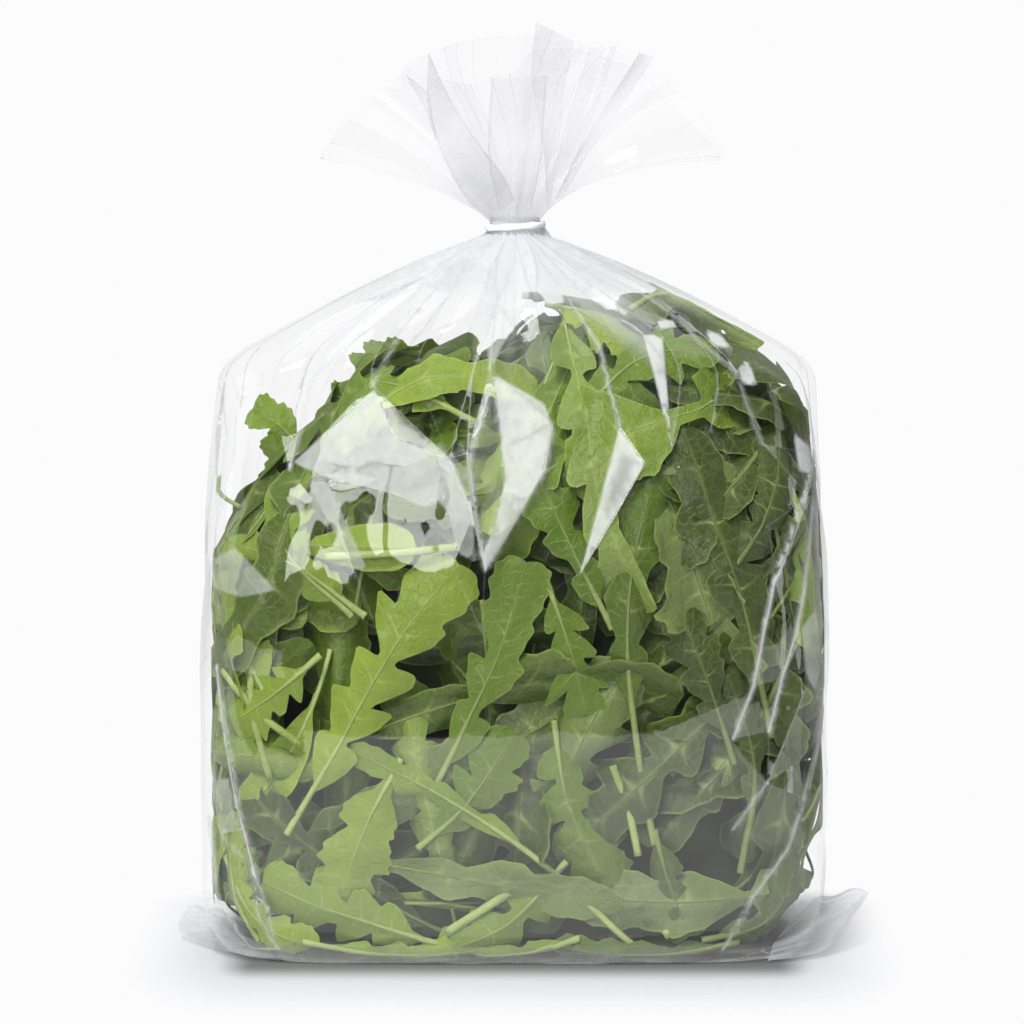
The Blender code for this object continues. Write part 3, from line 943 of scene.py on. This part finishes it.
# Bright folds, a painted highlight along each fold: how milky, and the fold's course as x and z.
PAINTED_HIGHLIGHT_FOLDS = (
    (0.93, (93, 156), (89, 144), (79, 118), (76, 104), (73, 87), (67, 71)),
    (0.88, (92, 141), (89, 116), (85.5, 100), (82, 89), (78, 73)),
    (0.80, (95, 71), (89, 51), (84, 36), (73, 22), (64, 5)),
    (0.72, (77, 57), (67, 43)),
    (0.70, (-92, 92), (-85, 50), (-79.5, 28), (-72.5, 5)),
    (0.62, (-88, 45.5), (-83.5, 42.5), (-79.5, 28)),
    (0.80, (-94.6, 44), (-92, 19.5), (-82.3, 4.7), (-72.6, 4.7)),
    (0.74, (-80.7, 31), (-79.1, 16), (-73.4, 4.7)),
    (0.60, (-90, 39), (-80.7, 31)),
    (0.75, (5, 221), (16, 205), (26, 190), (32, 166)),
    (0.72, (-7.6, 221), (-40, 204), (-62, 180), (-69, 153)),
    (0.66, (-7.4, 222), (-28, 207), (-44, 178)),
    (0.70, (-14.6, 158), (-9.1, 123), (9.2, 153), (11.6, 166)),
    (0.62, (7, 222), (44, 203), (68, 182), (76, 160)),
)
# The creases above are all there are on the front above this height, and no other pleat runs up to the neck
# between these two shares of the way round.
FRONT_DONE = 100 * MM
PLEATS_DONE = (0.315, 0.69)
FACET_TRIES = 6000


def crease_plan(wall, rng):
    """The crumpled film's points on the unrolled wall with their stand-off, in mm, and its creases."""
    spots, creases = [], []

    def add(share, height, off):
        u, v = wall.flat(share, height)
        for i, (a, b, _) in enumerate(spots):
            if abs(a - u) < 0.5 and abs(b - v) < 0.5:
                return i
        spots.append((u, v, off))
        return len(spots) - 1

    def run(line):
        ids = [add(*spot) for spot in line]
        creases.extend((a, b) for a, b in zip(ids, ids[1:]) if a != b)

    for line in FRONT_CREASES:
        run([(wall.share_at_front(x * MM, z * MM), z * MM, h) for x, z, h in line])
    share, up = 0.012, True
    while share < 0.99:
        if not PLEATS_DONE[0] < share < PLEATS_DONE[1]:
            tall = rng.uniform(1.0, 2.6) if up else rng.uniform(0.0, 0.4)
            drift = rng.uniform(-0.012, 0.012)
            last = rng.uniform(120, 175) * MM
            run([
                (share, NECK_TOP - 0.001, 0.35 if up else 0.0),
                (share + 0.2 * drift, 204 * MM, 0.8 * tall),
                (share + 0.6 * drift, 184 * MM, tall),
                (share + drift, last, 0.4 * tall),
            ])
            up = not up
        share += rng.uniform(0.016, 0.034)
    placed = [(u, v) for u, v, _ in spots]
    for _ in range(FACET_TRIES):
        share = rng.uniform(0, 1)
        height = rng.uniform(6, 190) * MM
        u, v = wall.flat(share, height)
        front = 0.325 < share < 0.68
        if front and height > FRONT_DONE:
            continue
        corner = min(abs(share - 0.30), abs(share - 0.70)) < 0.035
        gap = 12 if corner else 26 if height < 80 * MM else 19
        if min((a - u) ** 2 + (b - v) ** 2 for a, b in placed) < gap**2:
            continue
        placed.append((u, v))
        high = 0.12 if front and height < 96 * MM and not corner else rng.choice((0.15, 1.5))
        add(share, height, high * rng.uniform(0.6, 1.1))
    for edge in (0.0, 1.0):
        run([(edge, h * MM, 0.3) for h in (0, 40, 80, 120, 160, 190, 210)] + [(edge, NECK_TOP, 0.2)])
    for height in (0.0, NECK_TOP):
        run([(s, height, 0.0) for s in np.linspace(0, 1, 49)])
    return spots, creases


# The dense pleat that runs from the neck down to the right: its two ends, as x and z.
PLEAT = ((6 * MM, 217 * MM), (43 * MM, 191 * MM))


def within(loop, x, z):
    """Whether a place on the front lies inside a loop of creases."""
    inside = False
    for (ax, az), (bx, bz) in zip(loop, (*loop[1:], loop[0])):
        if (az > z) != (bz > z) and x < ax + (bx - ax) * (z - az) / (bz - az):
            inside = not inside
    return inside


def distance_to(line, places):
    """How far each place is from a line of straight pieces."""
    places = np.array(places)
    least = np.full(len(places), np.inf)
    for a, b in zip(np.array(line, float), np.array(line[1:], float)):
        along = np.clip((places - a) @ (b - a) / ((b - a) @ (b - a)), 0, 1)
        least = np.minimum(least, np.linalg.norm(places - a - along[:, None] * (b - a), axis=1))
    return least


def triangles(points, edges):
    """A Delaunay triangulation that keeps the given edges: points, edges, faces, and what they came from."""
    flat = [Vector(p[:2]) for p in points]
    verts, edges, faces, from_verts, from_edges, _ = geometry.delaunay_2d_cdt(flat, edges, [], 0, 1e-5, True)
    return np.array([tuple(v) for v in verts]), edges, faces, from_verts, from_edges


def fold_weight(middle, slopes):
    """How sharply the film folds along an edge, 0 to 1; the front stays smooth below the bright facets."""
    fold = (slopes[0] - slopes[1]).length if len(slopes) == 2 else 0.3
    smooth_front = abs(middle[0] / AROUND - 0.5) < 0.13 and 12 < middle[1] < 105
    return 0.55 + 0.45 * min(fold / 0.30, 1.0) if fold > 0.05 and not smooth_front else 0.0


def coarse_film(spots, creases):
    """The film's large facets on the unrolled wall: corners, edges, slopes beside each edge, and relief."""
    coarse, edges, faces, from_verts, _ = triangles(spots, creases)
    off = np.zeros(len(coarse))
    for i, sources in enumerate(from_verts):
        off[i] = np.mean([spots[k][2] for k in sources]) if sources else np.nan
    for i in np.flatnonzero(np.isnan(off)):
        near = [np.hypot(*(coarse[i] - np.array(s[:2]))) for s in spots]
        off[i] = spots[int(np.argmin(near))][2]
    slopes = {}
    for face in faces:
        a, b, c = (Vector((*coarse[k], off[k])) for k in face)
        normal = (b - a).cross(c - a)
        slope = Vector((0, 0))
        if abs(normal.z) > 1e-9:
            slope = Vector((-normal.x / normal.z, -normal.y / normal.z))
        for p, q in zip(face, (*face[1:], face[0])):
            slopes.setdefault((min(p, q), max(p, q)), []).append(slope)
    relief = BVHTree.FromPolygons([(x, y, h) for (x, y), h in zip(coarse, off)], faces)
    return coarse, edges, slopes, relief


def crease_points(coarse, coarse_edges, slopes):
    """Points along every edge of the large facets, the pieces between them, and how sharply both fold."""
    points, edges, weights, edge_weights = [], [], [], []
    corner = {}
    for p, q in coarse_edges:
        weight = fold_weight((coarse[p] + coarse[q]) / 2, slopes.get((min(p, q), max(p, q)), []))
        steps = max(int(round(np.hypot(*(coarse[q] - coarse[p])) / CREASE_STEP)), 1)
        last = None
        for k in range(steps + 1):
            if k in (0, steps):
                key = p if k == 0 else q
                if key not in corner:
                    corner[key] = len(points)
                    points.append(tuple(coarse[key]))
                    weights.append(weight)
                index = corner[key]
                weights[index] = max(weights[index], weight)
            else:
                index = len(points)
                points.append(tuple(coarse[p] + (coarse[q] - coarse[p]) * (k / steps)))
                weights.append(weight)
            if last is not None and last != index:
                edges.append((last, index))
                edge_weights.append(weight)
            last = index
    return points, edges, weights, edge_weights


def points_between(wall, points, rng):
    """Loose points in staggered rows between the creases, none right beside another point."""
    found = []
    cells = {(int(x / FILL_CELL), int(y / FILL_CELL)) for x, y in points}
    for row in range(1, int(wall.unrolled[-1] / FILL_STEP)):
        v = row * FILL_STEP
        around = int(wall.perimeter(float(wall.height_of(v))) / FILL_STEP)
        for k in range(around):
            u = (k + 0.5 * (row % 2) + 0.25) * AROUND / around + rng.uniform(-0.25, 0.25)
            w = v + rng.uniform(-0.25, 0.25)
            cell = (int(u / FILL_CELL), int(w / FILL_CELL))
            if 0.5 < u < AROUND - 0.5 and cell not in cells:
                found.append((u, w))
                cells.add(cell)
    return found


def film_waves(fine, height, weight):
    """Small soft waves, in mm, that die out towards the creases, the seam and the smooth front."""
    u, v = fine[:, 0], fine[:, 1]
    share = u / AROUND
    wobble = 0.16 * np.sin(u / 5.2 + 1.7 * np.sin(v / 9)) * np.sin(v / 7.3 + 1.1 * np.sin(u / 13))
    loose = np.where((share > 0.33) & (share < 0.67), 1.2 * smoothstep(78 * MM, 115 * MM, height), 1.0)
    seam = np.minimum(np.minimum(share, 1 - share) * 40, 1.0)
    folded = KDTree(len(fine))
    for i in np.flatnonzero(weight > 0.05):
        folded.insert((*fine[i], 0), int(i))
    folded.balance()
    loose *= smoothstep(0.5, 7.0, np.array([folded.find((a, b, 0))[2] for a, b in fine]))
    return wobble * loose * seam * (1 - weight)


def film_haze(solid, height, front):
    """How hazy the film is: more at the neck, in the column of folds below it, in the pleat and the hem."""
    x, z = solid[:, 0], solid[:, 2]
    neck = smoothstep(196 * MM, 221 * MM, height)
    streaks = 0.75 + 0.25 * np.cos(x / (0.9 * MM) + 2 * np.sin(height / (9 * MM)))
    column = np.exp(-(((x - 0.5 * MM) / (11 * MM)) ** 4))
    column = column * smoothstep(164 * MM, 206 * MM, height) * front * streaks
    (left, high), (right, low) = PLEAT
    along = np.clip((x - left) / (right - left), 0, 1)
    beside = z - (high + (low - high) * along)
    pleat = np.exp(-((beside / (7 * MM)) ** 4)) * (x > left) * (x < right) * front
    hem = (1 - smoothstep(4 * MM, 9 * MM, height)) * front * (1 - 0.65 * smoothstep(40 * MM, 75 * MM, x))
    haze = 0.004 + 0.012 * smoothstep(155 * MM, 195 * MM, height) * front + 0.8 * neck**1.4
    return haze + 0.30 * column + 0.50 * pleat * (1 - 0.4 * along) + 0.24 * hem


def film_looks(solid, height, stand, weight):
    """The film's shading values: haze, painted highlights on creases, facets and folds, and painted shade."""
    front = solid[:, 1] < 0
    places = list(zip(solid[:, 0] / MM, solid[:, 2] / MM))

    def inside_of(loop, softness):
        side = np.where([within(loop, *place) for place in places], 1, -1)
        return front * np.clip(0.5 + side * distance_to((*loop, loop[0]), places) / softness, 0, 1)

    facet, milk, fold = np.zeros((3, len(places)))
    # painted highlights: milk inside the white facets and along the bright folds
    for milky, *loop in PAINTED_HIGHLIGHT_FACETS:
        here = inside_of(loop, 6.0)
        milk = np.where(here > facet, milky, milk)
        facet = np.maximum(facet, here)
    for bright, *line in PAINTED_HIGHLIGHT_FOLDS:
        fold = np.maximum(fold, bright * front * np.clip(1.3 - distance_to(line, places) / 1.2, 0, 1))
    shoulder = smoothstep(140 * MM, 170 * MM, height)
    # painted shade: the film is painted greyer near the neck, on strong creases over the shoulder, at the
    # shoulder's sides and in the shaded facets
    dull_painted_shade = np.clip(0.25 - 0.2 * stand, 0, 1) * smoothstep(190 * MM, 208 * MM, height)
    dull_painted_shade = np.maximum(dull_painted_shade, 0.6 * (weight > 0.5) * shoulder)
    sides = smoothstep(45 * MM, 65 * MM, np.abs(solid[:, 0])) * shoulder
    dull_painted_shade = np.maximum(dull_painted_shade, 0.6 * sides * (facet < 0.3))
    for loop in PAINTED_SHADE_FACETS:
        dull_painted_shade = np.maximum(dull_painted_shade, inside_of(loop, 1.2))
    haze = film_haze(solid, height, front)
    return {"facet": facet, "milk": milk, "fold": fold, "dull_painted_shade": dull_painted_shade, "haze": haze, "crease": weight}


def film_body(wall, material):
    """Crumpled film: flat facets between crisp creases, on the bag's own curve."""
    rng = np.random.default_rng(SEED + 7)
    coarse, coarse_edges, slopes, relief = coarse_film(*crease_plan(wall, rng))
    points, edges, weights, edge_weights = crease_points(coarse, coarse_edges, slopes)
    loose = points_between(wall, points, rng)
    weights += [0.0] * len(loose)
    fine, fine_edges, faces, from_verts, from_edges = triangles(points + loose, edges)
    weight = np.array([max((weights[k] for k in sources), default=0) for sources in from_verts])
    stand = np.zeros(len(fine))
    for i, (u, v) in enumerate(fine):
        u, v = (min(max(place, 0.001), end - 0.001) for place, end in ((u, AROUND), (v, wall.unrolled[-1])))
        hit = relief.ray_cast(Vector((u, v, 50)), Vector((0, 0, -1)))[0]
        stand[i] = (hit.z if hit is not None else 0.0) - FILM_SUNK
    share, height = fine[:, 0] / AROUND, wall.height_of(fine[:, 1])
    ends = np.minimum(np.minimum(height / (10 * MM), (NECK_TOP - height) / (15 * MM)), 1.0)
    solid = wall.place(share, height, (stand + film_waves(fine, height, weight)) * ends * MM)
    made = mesh_object("film_body", solid, faces, material, **film_looks(solid, height, stand, weight))
    strong = {
        (min(e), max(e))
        for e, sources in zip(fine_edges, from_edges)
        if sources and max(edge_weights[k] for k in sources) > 0.60
    }
    sharp = made.data.attributes.new("sharp_edge", "BOOLEAN", "EDGE")
    sharp.data.foreach_set("value", [(min(e.vertices), max(e.vertices)) in strong for e in made.data.edges])
    return made


# The fan's rim: angle from upright in degrees, and distance from the neck in mm, as seen from the front.
RIM_BACK = (
    (-71, 57), (-49, 55.5), (-36, 54), (-29, 57), (-15, 58.2), (0, 58.4), (4.4, 58.3), (5.4, 62.2),
    (17.5, 58.5), (19, 60.5), (26, 60.2), (36.5, 62.5), (43.5, 60.4), (60, 61.7), (74, 60.8),
)
RIM_FRONT = (
    (-71, 57), (-60, 55), (-47, 53), (-38, 54), (-33, 51), (-28.7, 57.5), (-25, 52), (-14, 46.5), (-8, 44.5),
    (-6, 46.6), (4, 48), (8, 55), (18, 57), (27, 57), (38, 58), (48, 55), (60, 57), (74, 60.8),
)

# How much film lies folded up at each angle of the fan, as a share that isn't clear.
FAN_BANDS = (
    (-71, 0.004), (-40, 0.006), (-37, 0.06), (-13, 0.09), (-11, 0.05), (3.5, 0.06), (5, 0.13), (16, 0.12),
    (18, 0.06), (36, 0.06), (39, 0.06), (42.5, 0.006), (74, 0.004),
)

# Folded flaps of the fan: the left and the right edge as x and z in mm, the lean in degrees, and how milky.
FLAPS = (
    (((-7, 228), (-14, 233), (-20.5, 244), (-25, 256.5), (-27, 266), (-26.5, 279.7)),
     ((0, 234), (-3, 241), (-9, 249), (-14, 256), (-20.5, 267), (-26.3, 279.8)),
     -30, 0.32),
    (((-24.5, 253), (-28, 263), (-31, 268.5), (-33.7, 273.4)),
     ((-24, 253), (-25.5, 260), (-27, 267.5), (-33.6, 273.5)),
     -27, 0.28),
    (((9.8, 232), (9.4, 246), (7.3, 260), (5.3, 273.4), (6.8, 289.4)),
     ((11, 232), (13.6, 246), (14.8, 262), (16, 270), (18.7, 283.3)),
     22, 0.30),
    (((12.7, 234), (20.6, 250), (30.7, 266), (39.5, 279.7)),
     ((14.9, 234), (24.4, 250), (35.7, 266), (44.2, 278.5)),
     20, 0.36),
    (((13, 241), (15, 253.5), (20, 269), (23.7, 281.3)),
     ((16, 239), (20.6, 250), (27, 266), (32.5, 282.3)),
     23, 0.15),
    (((-5, 231), (-8, 246), (-8, 260), (-7, 272)),
     ((5, 231), (8, 246), (9, 260), (10, 273)),
     -29, 0.16),
)


def fan_folds(rng):
    """Where the pleats fold, as shares of the way across the fan; they lie closer in its middle."""
    folds, place = [], 0.0
    while place < 1:
        folds.append(place)
        middle = 1 - abs(2 * place - 1)
        place += rng.uniform(0.5, 1.5) * np.interp(middle, [0, 0.35, 1], [0.075, 0.055, 0.034])
    return np.array([*folds, 1.0])


def fan_sheet(side, rim, folds, share, rng):
    """One pleated sheet of the fan, -1 in front and 1 behind: its points, its crease lines and its haze."""
    heights = np.where(np.arange(len(folds)) % 2, 1.0, -1.0) * rng.uniform(0.25, 1.0, len(folds))
    zigzag = np.interp(share, folds, heights)
    crease = np.interp(share, folds, rng.uniform(0.5, 1.0, len(folds)))
    on_fold = np.isclose(share[:, None], folds[None], atol=2e-4).any(axis=1)
    angle = np.interp(share, [0, 1], [-69.5, 71.5])
    radius = np.interp(angle, *np.array(rim).T)
    reach = np.linspace(0, 1, FAN_ROWS)[:, None]
    arch = np.sin(math.pi * share)
    lean = (FRONT_LEAN if side < 0 else BACK_LEAN_SEEN) * arch**1.6
    sway = 4.0 * np.sin(1.3 * math.pi * reach + 3 * share + side) * arch
    start = np.interp(share, [0.3, 1], [0.55, 0.2])
    theta = np.radians(angle) * (start + (1 - start) * reach**0.35) + np.radians(sway) * reach
    spread = radius * MM * reach
    ruffle = 5.0 * MM * reach**1.1 * zigzag * arch**1.4
    curl = side * 3.0 * MM * reach**3 * np.sin(9 * share + 1)
    x = -np.cos(np.pi * share) * NECK_WIDTH / 2 + spread * np.sin(theta)
    y = side * arch * NECK_DEPTH / 2 + side * spread * np.tan(lean) * (0.55 + 0.45 * reach) + ruffle + curl
    z = FAN_FOOT + spread * np.cos(theta) * np.cos(0.35 * lean)
    lines = np.where(on_fold, crease, 0) * np.ones((FAN_ROWS, 1))
    lines[-1] = np.maximum(lines[-1], 0.82)
    lines[:, (0, -1)] = 0.9
    patches = 0.8 + 0.35 * np.sin(23 * share + 4 * side) * np.cos(4 * reach)
    haze = np.interp(angle, *np.array(FAN_BANDS).T) * patches * (1 - 0.2 * reach) + 0.45 * (1 - reach) ** 5
    return np.stack([x, y, z], axis=-1), lines, haze


def fan_flap(left, right, lean, milk):
    """A folded flap between two edges: its points, its crease lines and its haze."""
    rows, across = np.linspace(0, 1, 26), np.linspace(0, 1, 9)
    a, b = (spline([(x * MM, z * MM) for x, z in edge], len(rows)) for edge in (left, right))
    flap = np.stack([a * (1 - t) + b * t for t in across], axis=1)
    x, z = flap[..., 0], flap[..., 1]
    bow = 1.2 * MM * np.sin(math.pi * across)[None]
    y = (z - FAN_FOOT + 6 * MM) * math.tan(math.radians(lean)) + math.copysign(1, lean) * bow
    lines = np.zeros(x.shape)
    lines[:, (0, -1)] = 0.95
    haze = milk * (0.8 + 0.4 * np.sin(9 * rows))[:, None] * np.ones(x.shape)
    return np.stack([x, y, z], axis=-1), lines, haze


def fan(material):
    """The gathered mouth above the tie: a front and a back sheet in sharp pleats, and a few folded flaps."""
    rng = np.random.default_rng(SEED + 9)
    folds = fan_folds(rng)
    share = np.unique(np.concatenate([folds, np.linspace(0, 1, 170)]))
    share = share[np.concatenate([[True], np.diff(share) > 1e-4])]
    parts = [fan_sheet(side, rim, folds, share, rng) for side, rim in ((-1, RIM_FRONT), (1, RIM_BACK))]
    parts += [fan_flap(*flap) for flap in FLAPS]
    faces, count = [], 0
    for _, lines, _ in parts:
        faces += quads(lines.shape, count)
        count += lines.size
    points = np.concatenate([grid.reshape(-1, 3) for grid, _, _ in parts])
    crease, haze = (np.concatenate([part[k].ravel() for part in parts]) for k in (1, 2))
    # painted shade: the whole fan is painted greyer, with a weaker mirror
    looks = {"haze": haze, "crease": crease, "dull_painted_shade": np.ones(count)}
    return mesh_object("film_fan", points, faces, material, smooth=False, **looks)


# Loose corners of film at the foot: lower edge, middle fold and upper edge, from the bag to the tip,
# as x, y and z in mm. A small scoop on the left and a longer folded flap on the right.
EARS = {
    "film_ear_left": (
        ((-74, -44, 1.0), (-84, -38, 1.0), (-93, -28, 1.0), (-101, -16, 1.2), (-106, -8, 2.5)),
        ((-78, -38, 4.0), (-86, -30, 6.0), (-94, -20, 7.5), (-101, -11, 7.5), (-106.5, -5, 5.0)),
        ((-88, 16, 2.0), (-92, 12, 5.0), (-97, 6, 8.0), (-102, 1, 9.5), (-106, -2, 6.5)),
    ),
    "film_ear_right": (
        ((78, -48, 1.0), (88, -44, 1.5), (96, -38, 2.5), (103, -28, 7.0), (111, -14, 15.0)),
        ((80, -42, 5.0), (90, -36, 8.0), (98, -28, 11.0), (105, -20, 13.5), (111.5, -12, 15.8)),
        ((90, 10, 5.0), (95, 4, 10.5), (100, -2, 13.5), (106, -7, 16.0), (111.5, -11, 16.3)),
    ),
}


def ear(name, low, middle, high, material):
    """A loose corner of film between three curves, with a few small waves."""
    along = np.arange(34)
    lines = [[[c * MM for c in place] for place in line] for line in (low, middle, high)]
    low, middle, high = (spline(line, len(along)) for line in lines)
    steps = np.linspace(0, 1, 9)
    rows = [low * (1 - t) + middle * t for t in steps[:-1]] + [middle * (1 - t) + high * t for t in steps]
    across = np.arange(len(rows))[:, None]
    grid = np.stack(rows)
    grid[..., 2] += 0.7 * MM * np.sin(along / 2.6)[None] * np.sin(across / 1.4)
    grid[..., 2] = np.maximum(grid[..., 2], 0.3 * MM)
    lines = np.zeros(grid.shape[:2])
    lines[(0, 4, 8, -1), :] = 0.85
    lines[:, -1] = 0.9
    haze = 0.44 + 0.20 * (np.sin(across * 1.9) * np.cos(along / 7.0)[None])
    # painted shade: the ears are painted greyer, with a weaker mirror
    looks = {"crease": lines, "haze": haze, "dull_painted_shade": np.full(lines.size, 0.75)}
    return mesh_object(name, grid.reshape(-1, 3), quads(lines.shape), material, **looks)


def tie_band(material):
    """A thin white band wound tight round the neck, with a pinch at the right."""
    turns, sides = 128, 10
    angle = np.linspace(0, 2 * math.pi, turns, endpoint=False)
    centre = np.stack([
        (NECK_WIDTH / 2 + TIE_OFF) * np.cos(angle),
        (NECK_DEPTH / 2 + TIE_OFF) * np.sin(angle),
        TIE_HEIGHT + 0.55 * MM * np.cos(angle),
    ], axis=1)
    out = np.stack([np.cos(angle), np.sin(angle), 0 * angle], axis=1)
    pinch = np.exp(-((np.minimum(angle, 2 * math.pi - angle) / 0.22) ** 2))
    swell = 1 + 0.12 * np.cos(7 * angle) + 0.25 * pinch
    points = []
    for i in range(turns):
        for k in range(sides):
            t = 2 * math.pi * k / sides + 0.5 * math.sin(3 * angle[i])
            rise = np.array([0, 0, 1.0 * MM * swell[i] * math.sin(t)])
            points.append(centre[i] + out[i] * 0.6 * MM * swell[i] * math.cos(t) + rise)
    index = np.arange(turns * sides).reshape(turns, sides)
    ahead = np.roll(index, -1, axis=0)
    corners = [index, ahead, np.roll(ahead, -1, axis=1), np.roll(index, -1, axis=1)]
    return mesh_object("tie_band", points, np.stack(corners, axis=-1).reshape(-1, 4).tolist(), material)


# ---------------------------------------------------------------- the studio

VIEW_TARGET = Vector((-0.9 * MM, 0, 135.5 * MM))
VIEW_ELEVATION = math.radians(5.5)
VIEW_DISTANCE = 1.6
VIEW_WIDTH = 323.2 * MM
SENSOR = 36.0
LIGHTS_AIM = Vector((0, 0, 0.12))
TABLE_EDGE = 0.262
TABLE_REACH = 2.2


def camera():
    data = bpy.data.cameras.new("camera")
    data.sensor_width = SENSOR
    data.lens = SENSOR * VIEW_DISTANCE / VIEW_WIDTH
    data.clip_end = 30
    made = bpy.data.objects.new("camera", data)
    bpy.context.scene.collection.objects.link(made)
    back = Vector((0, -math.cos(VIEW_ELEVATION), math.sin(VIEW_ELEVATION)))
    made.location = VIEW_TARGET + back * VIEW_DISTANCE
    made.rotation_euler = (math.pi / 2 - VIEW_ELEVATION, 0, 0)
    bpy.context.scene.camera = made


def panel(name, azimuth, elevation, distance, width, height, radiance):
    """A soft light at an azimuth from the front, positive to the right; the camera itself doesn't see it."""
    a, e = math.radians(azimuth), math.radians(elevation)
    back = Vector((math.sin(a) * math.cos(e), -math.cos(a) * math.cos(e), math.sin(e)))
    data = bpy.data.lights.new(name, "AREA")
    data.shape = "RECTANGLE"
    data.size, data.size_y = width, height
    data.energy = radiance * math.pi * width * height
    made = bpy.data.objects.new(name, data)
    made.location = LIGHTS_AIM + back * distance
    made.rotation_euler = back.to_track_quat("Z", "Y").to_euler()
    made.visible_camera = False
    bpy.context.scene.collection.objects.link(made)
    return made


def world():
    """White to the camera; for mirrors light grey behind and dark in front; soft white light otherwise."""
    n = Nodes(bpy.data.worlds.new("studio"), "OutputWorld")
    rays = n.add("LightPath").outputs
    direction = n.add("SeparateXYZ", Vector=n.add("TexCoord").outputs["Generated"]).outputs

    def shine(value):
        return n.add("Background", Color=(value, value, value * 1.01)).outputs[0]

    mirrored = n.blend(n.fade(direction["Y"], -0.45, 0.25), shine(0.06), shine(0.68))
    soft = n.blend(n.fade(direction["Z"], -0.2, 0.9), shine(0.08), shine(0.30))
    for_light = n.blend(rays["Is Glossy Ray"], soft, mirrored)
    bpy.context.scene.world = n.show(n.blend(rays["Is Camera Ray"], for_light, shine(0.97)))


def floor():
    """A white table that fades into the white around it, with painted shade where it meets the bag."""
    n = Nodes(bpy.data.materials.new("white table"))
    # How far a place lies beyond the bag's base; it grows faster at the sides and behind, where the painted
    # shade is narrower.
    past = []
    for scale, base in (((2.0, 1.8, 0), (0.160, 0.092, 0)), ((-2.0, -1.0, 0), (0.160, 0.051, 0))):
        beyond = n.coordinates()
        for operation, value in (("MULTIPLY", scale), ("SUBTRACT", base), ("MAXIMUM", (0, 0, 0))):
            beyond = n.vectors(operation, beyond, value)
        past.append(beyond)
    beyond = n.fed(n.add("VectorMath", operation="LENGTH"), "Value", n.vectors("ADD", *past))
    to_camera = n.add("LightPath").outputs["Is Camera Ray"]
    # painted shade: the table's colour darkens towards the bag's base for camera rays; other rays see even
    # grey
    shade = n.mix(n.fade(beyond, 0.0, 0.028), (0.15, 0.15, 0.15), (0.53, 0.54, 0.56))
    lit = n.add("BsdfDiffuse", Color=n.mix(to_camera, (0.62, 0.62, 0.62), shade))
    seen = n.math("MULTIPLY", n.fade(beyond, 0.018, 0.085), to_camera)
    n.show(n.blend(seen, lit.outputs[0], n.add("BsdfTransparent").outputs[0]))
    parts, reach = [], TABLE_REACH
    for name, low, high in (("floor_near", -TABLE_EDGE, reach), ("floor_far", -reach, -TABLE_EDGE)):
        corners = [(x, y, 0) for x, y in ((-reach, low), (reach, low), (reach, high), (-reach, high))]
        parts.append(mesh_object(name, corners, [(0, 1, 2, 3)], n.owner, smooth=False))
    near, far = parts
    far.visible_glossy = False


def studio():
    """The lights, with two strips at the table's front edge for mirrors only, and plain picture colours."""
    panel("key_high", -13.5, 30.5, 1.35, 0.50, 0.29, 9.0)
    for azimuth in (-20, -7):
        panel("key_low", azimuth, 17, 1.35, 0.24, 0.33, 6.0)
    panel("sun", -18, 55, 1.5, 0.26, 0.26, 100.0).visible_glossy = False
    panel("sparkle", -30, 56, 1.5, 0.22, 0.14, 9.0).visible_diffuse = False
    panel("top", 0, 88, 1.2, 1.2, 1.0, 1.2)
    panel("left_side", -75, 30, 1.3, 0.5, 0.9, 1.2)
    panel("behind", 165, 45, 1.5, 1.0, 0.8, 2.0).visible_glossy = False
    panel("right_strip", 62, 14, 1.2, 0.16, 1.2, 2.6).visible_diffuse = False
    for name, height, radiance, place, tilt in (
        ("table_edge", 0.043, 1.38, (0, -TABLE_EDGE, 0.0215), math.pi / 2),
        ("table_glow", 0.197, 0.65, (0, -0.1635, 0.001), math.pi),
    ):
        light = panel(name, 0, 0, TABLE_EDGE, 2.4, height, radiance)
        light.location = place
        light.rotation_euler = (tilt, 0, 0)
        light.visible_diffuse = False
    bpy.context.scene.view_settings.view_transform = "Standard"


def main():
    camera()
    world()
    floor()
    studio()
    surface, inside, wall = Surface(), Inside(), Wall()
    leaf_look, film_look = leaf_material(), film_material()
    leaves = scattered_leaves(surface, inside, leaf_look)
    leaves.append(hero_leaves(surface, inside, leaf_look))
    leaves.append(core(painted_shade_core_material()))
    film = [film_body(wall, film_look), fan(film_look)]
    film += [ear(name, *lines, film_look) for name, lines in EARS.items()]
    band = tie_band(tie_material())
    pieces = [(piece, "leaves") for piece in leaves] + [(piece, "film") for piece in film] + [(band, "tie")]
    for piece, slot in pieces:
        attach(piece, "root")
    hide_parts("bag")
    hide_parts("tie")


main()
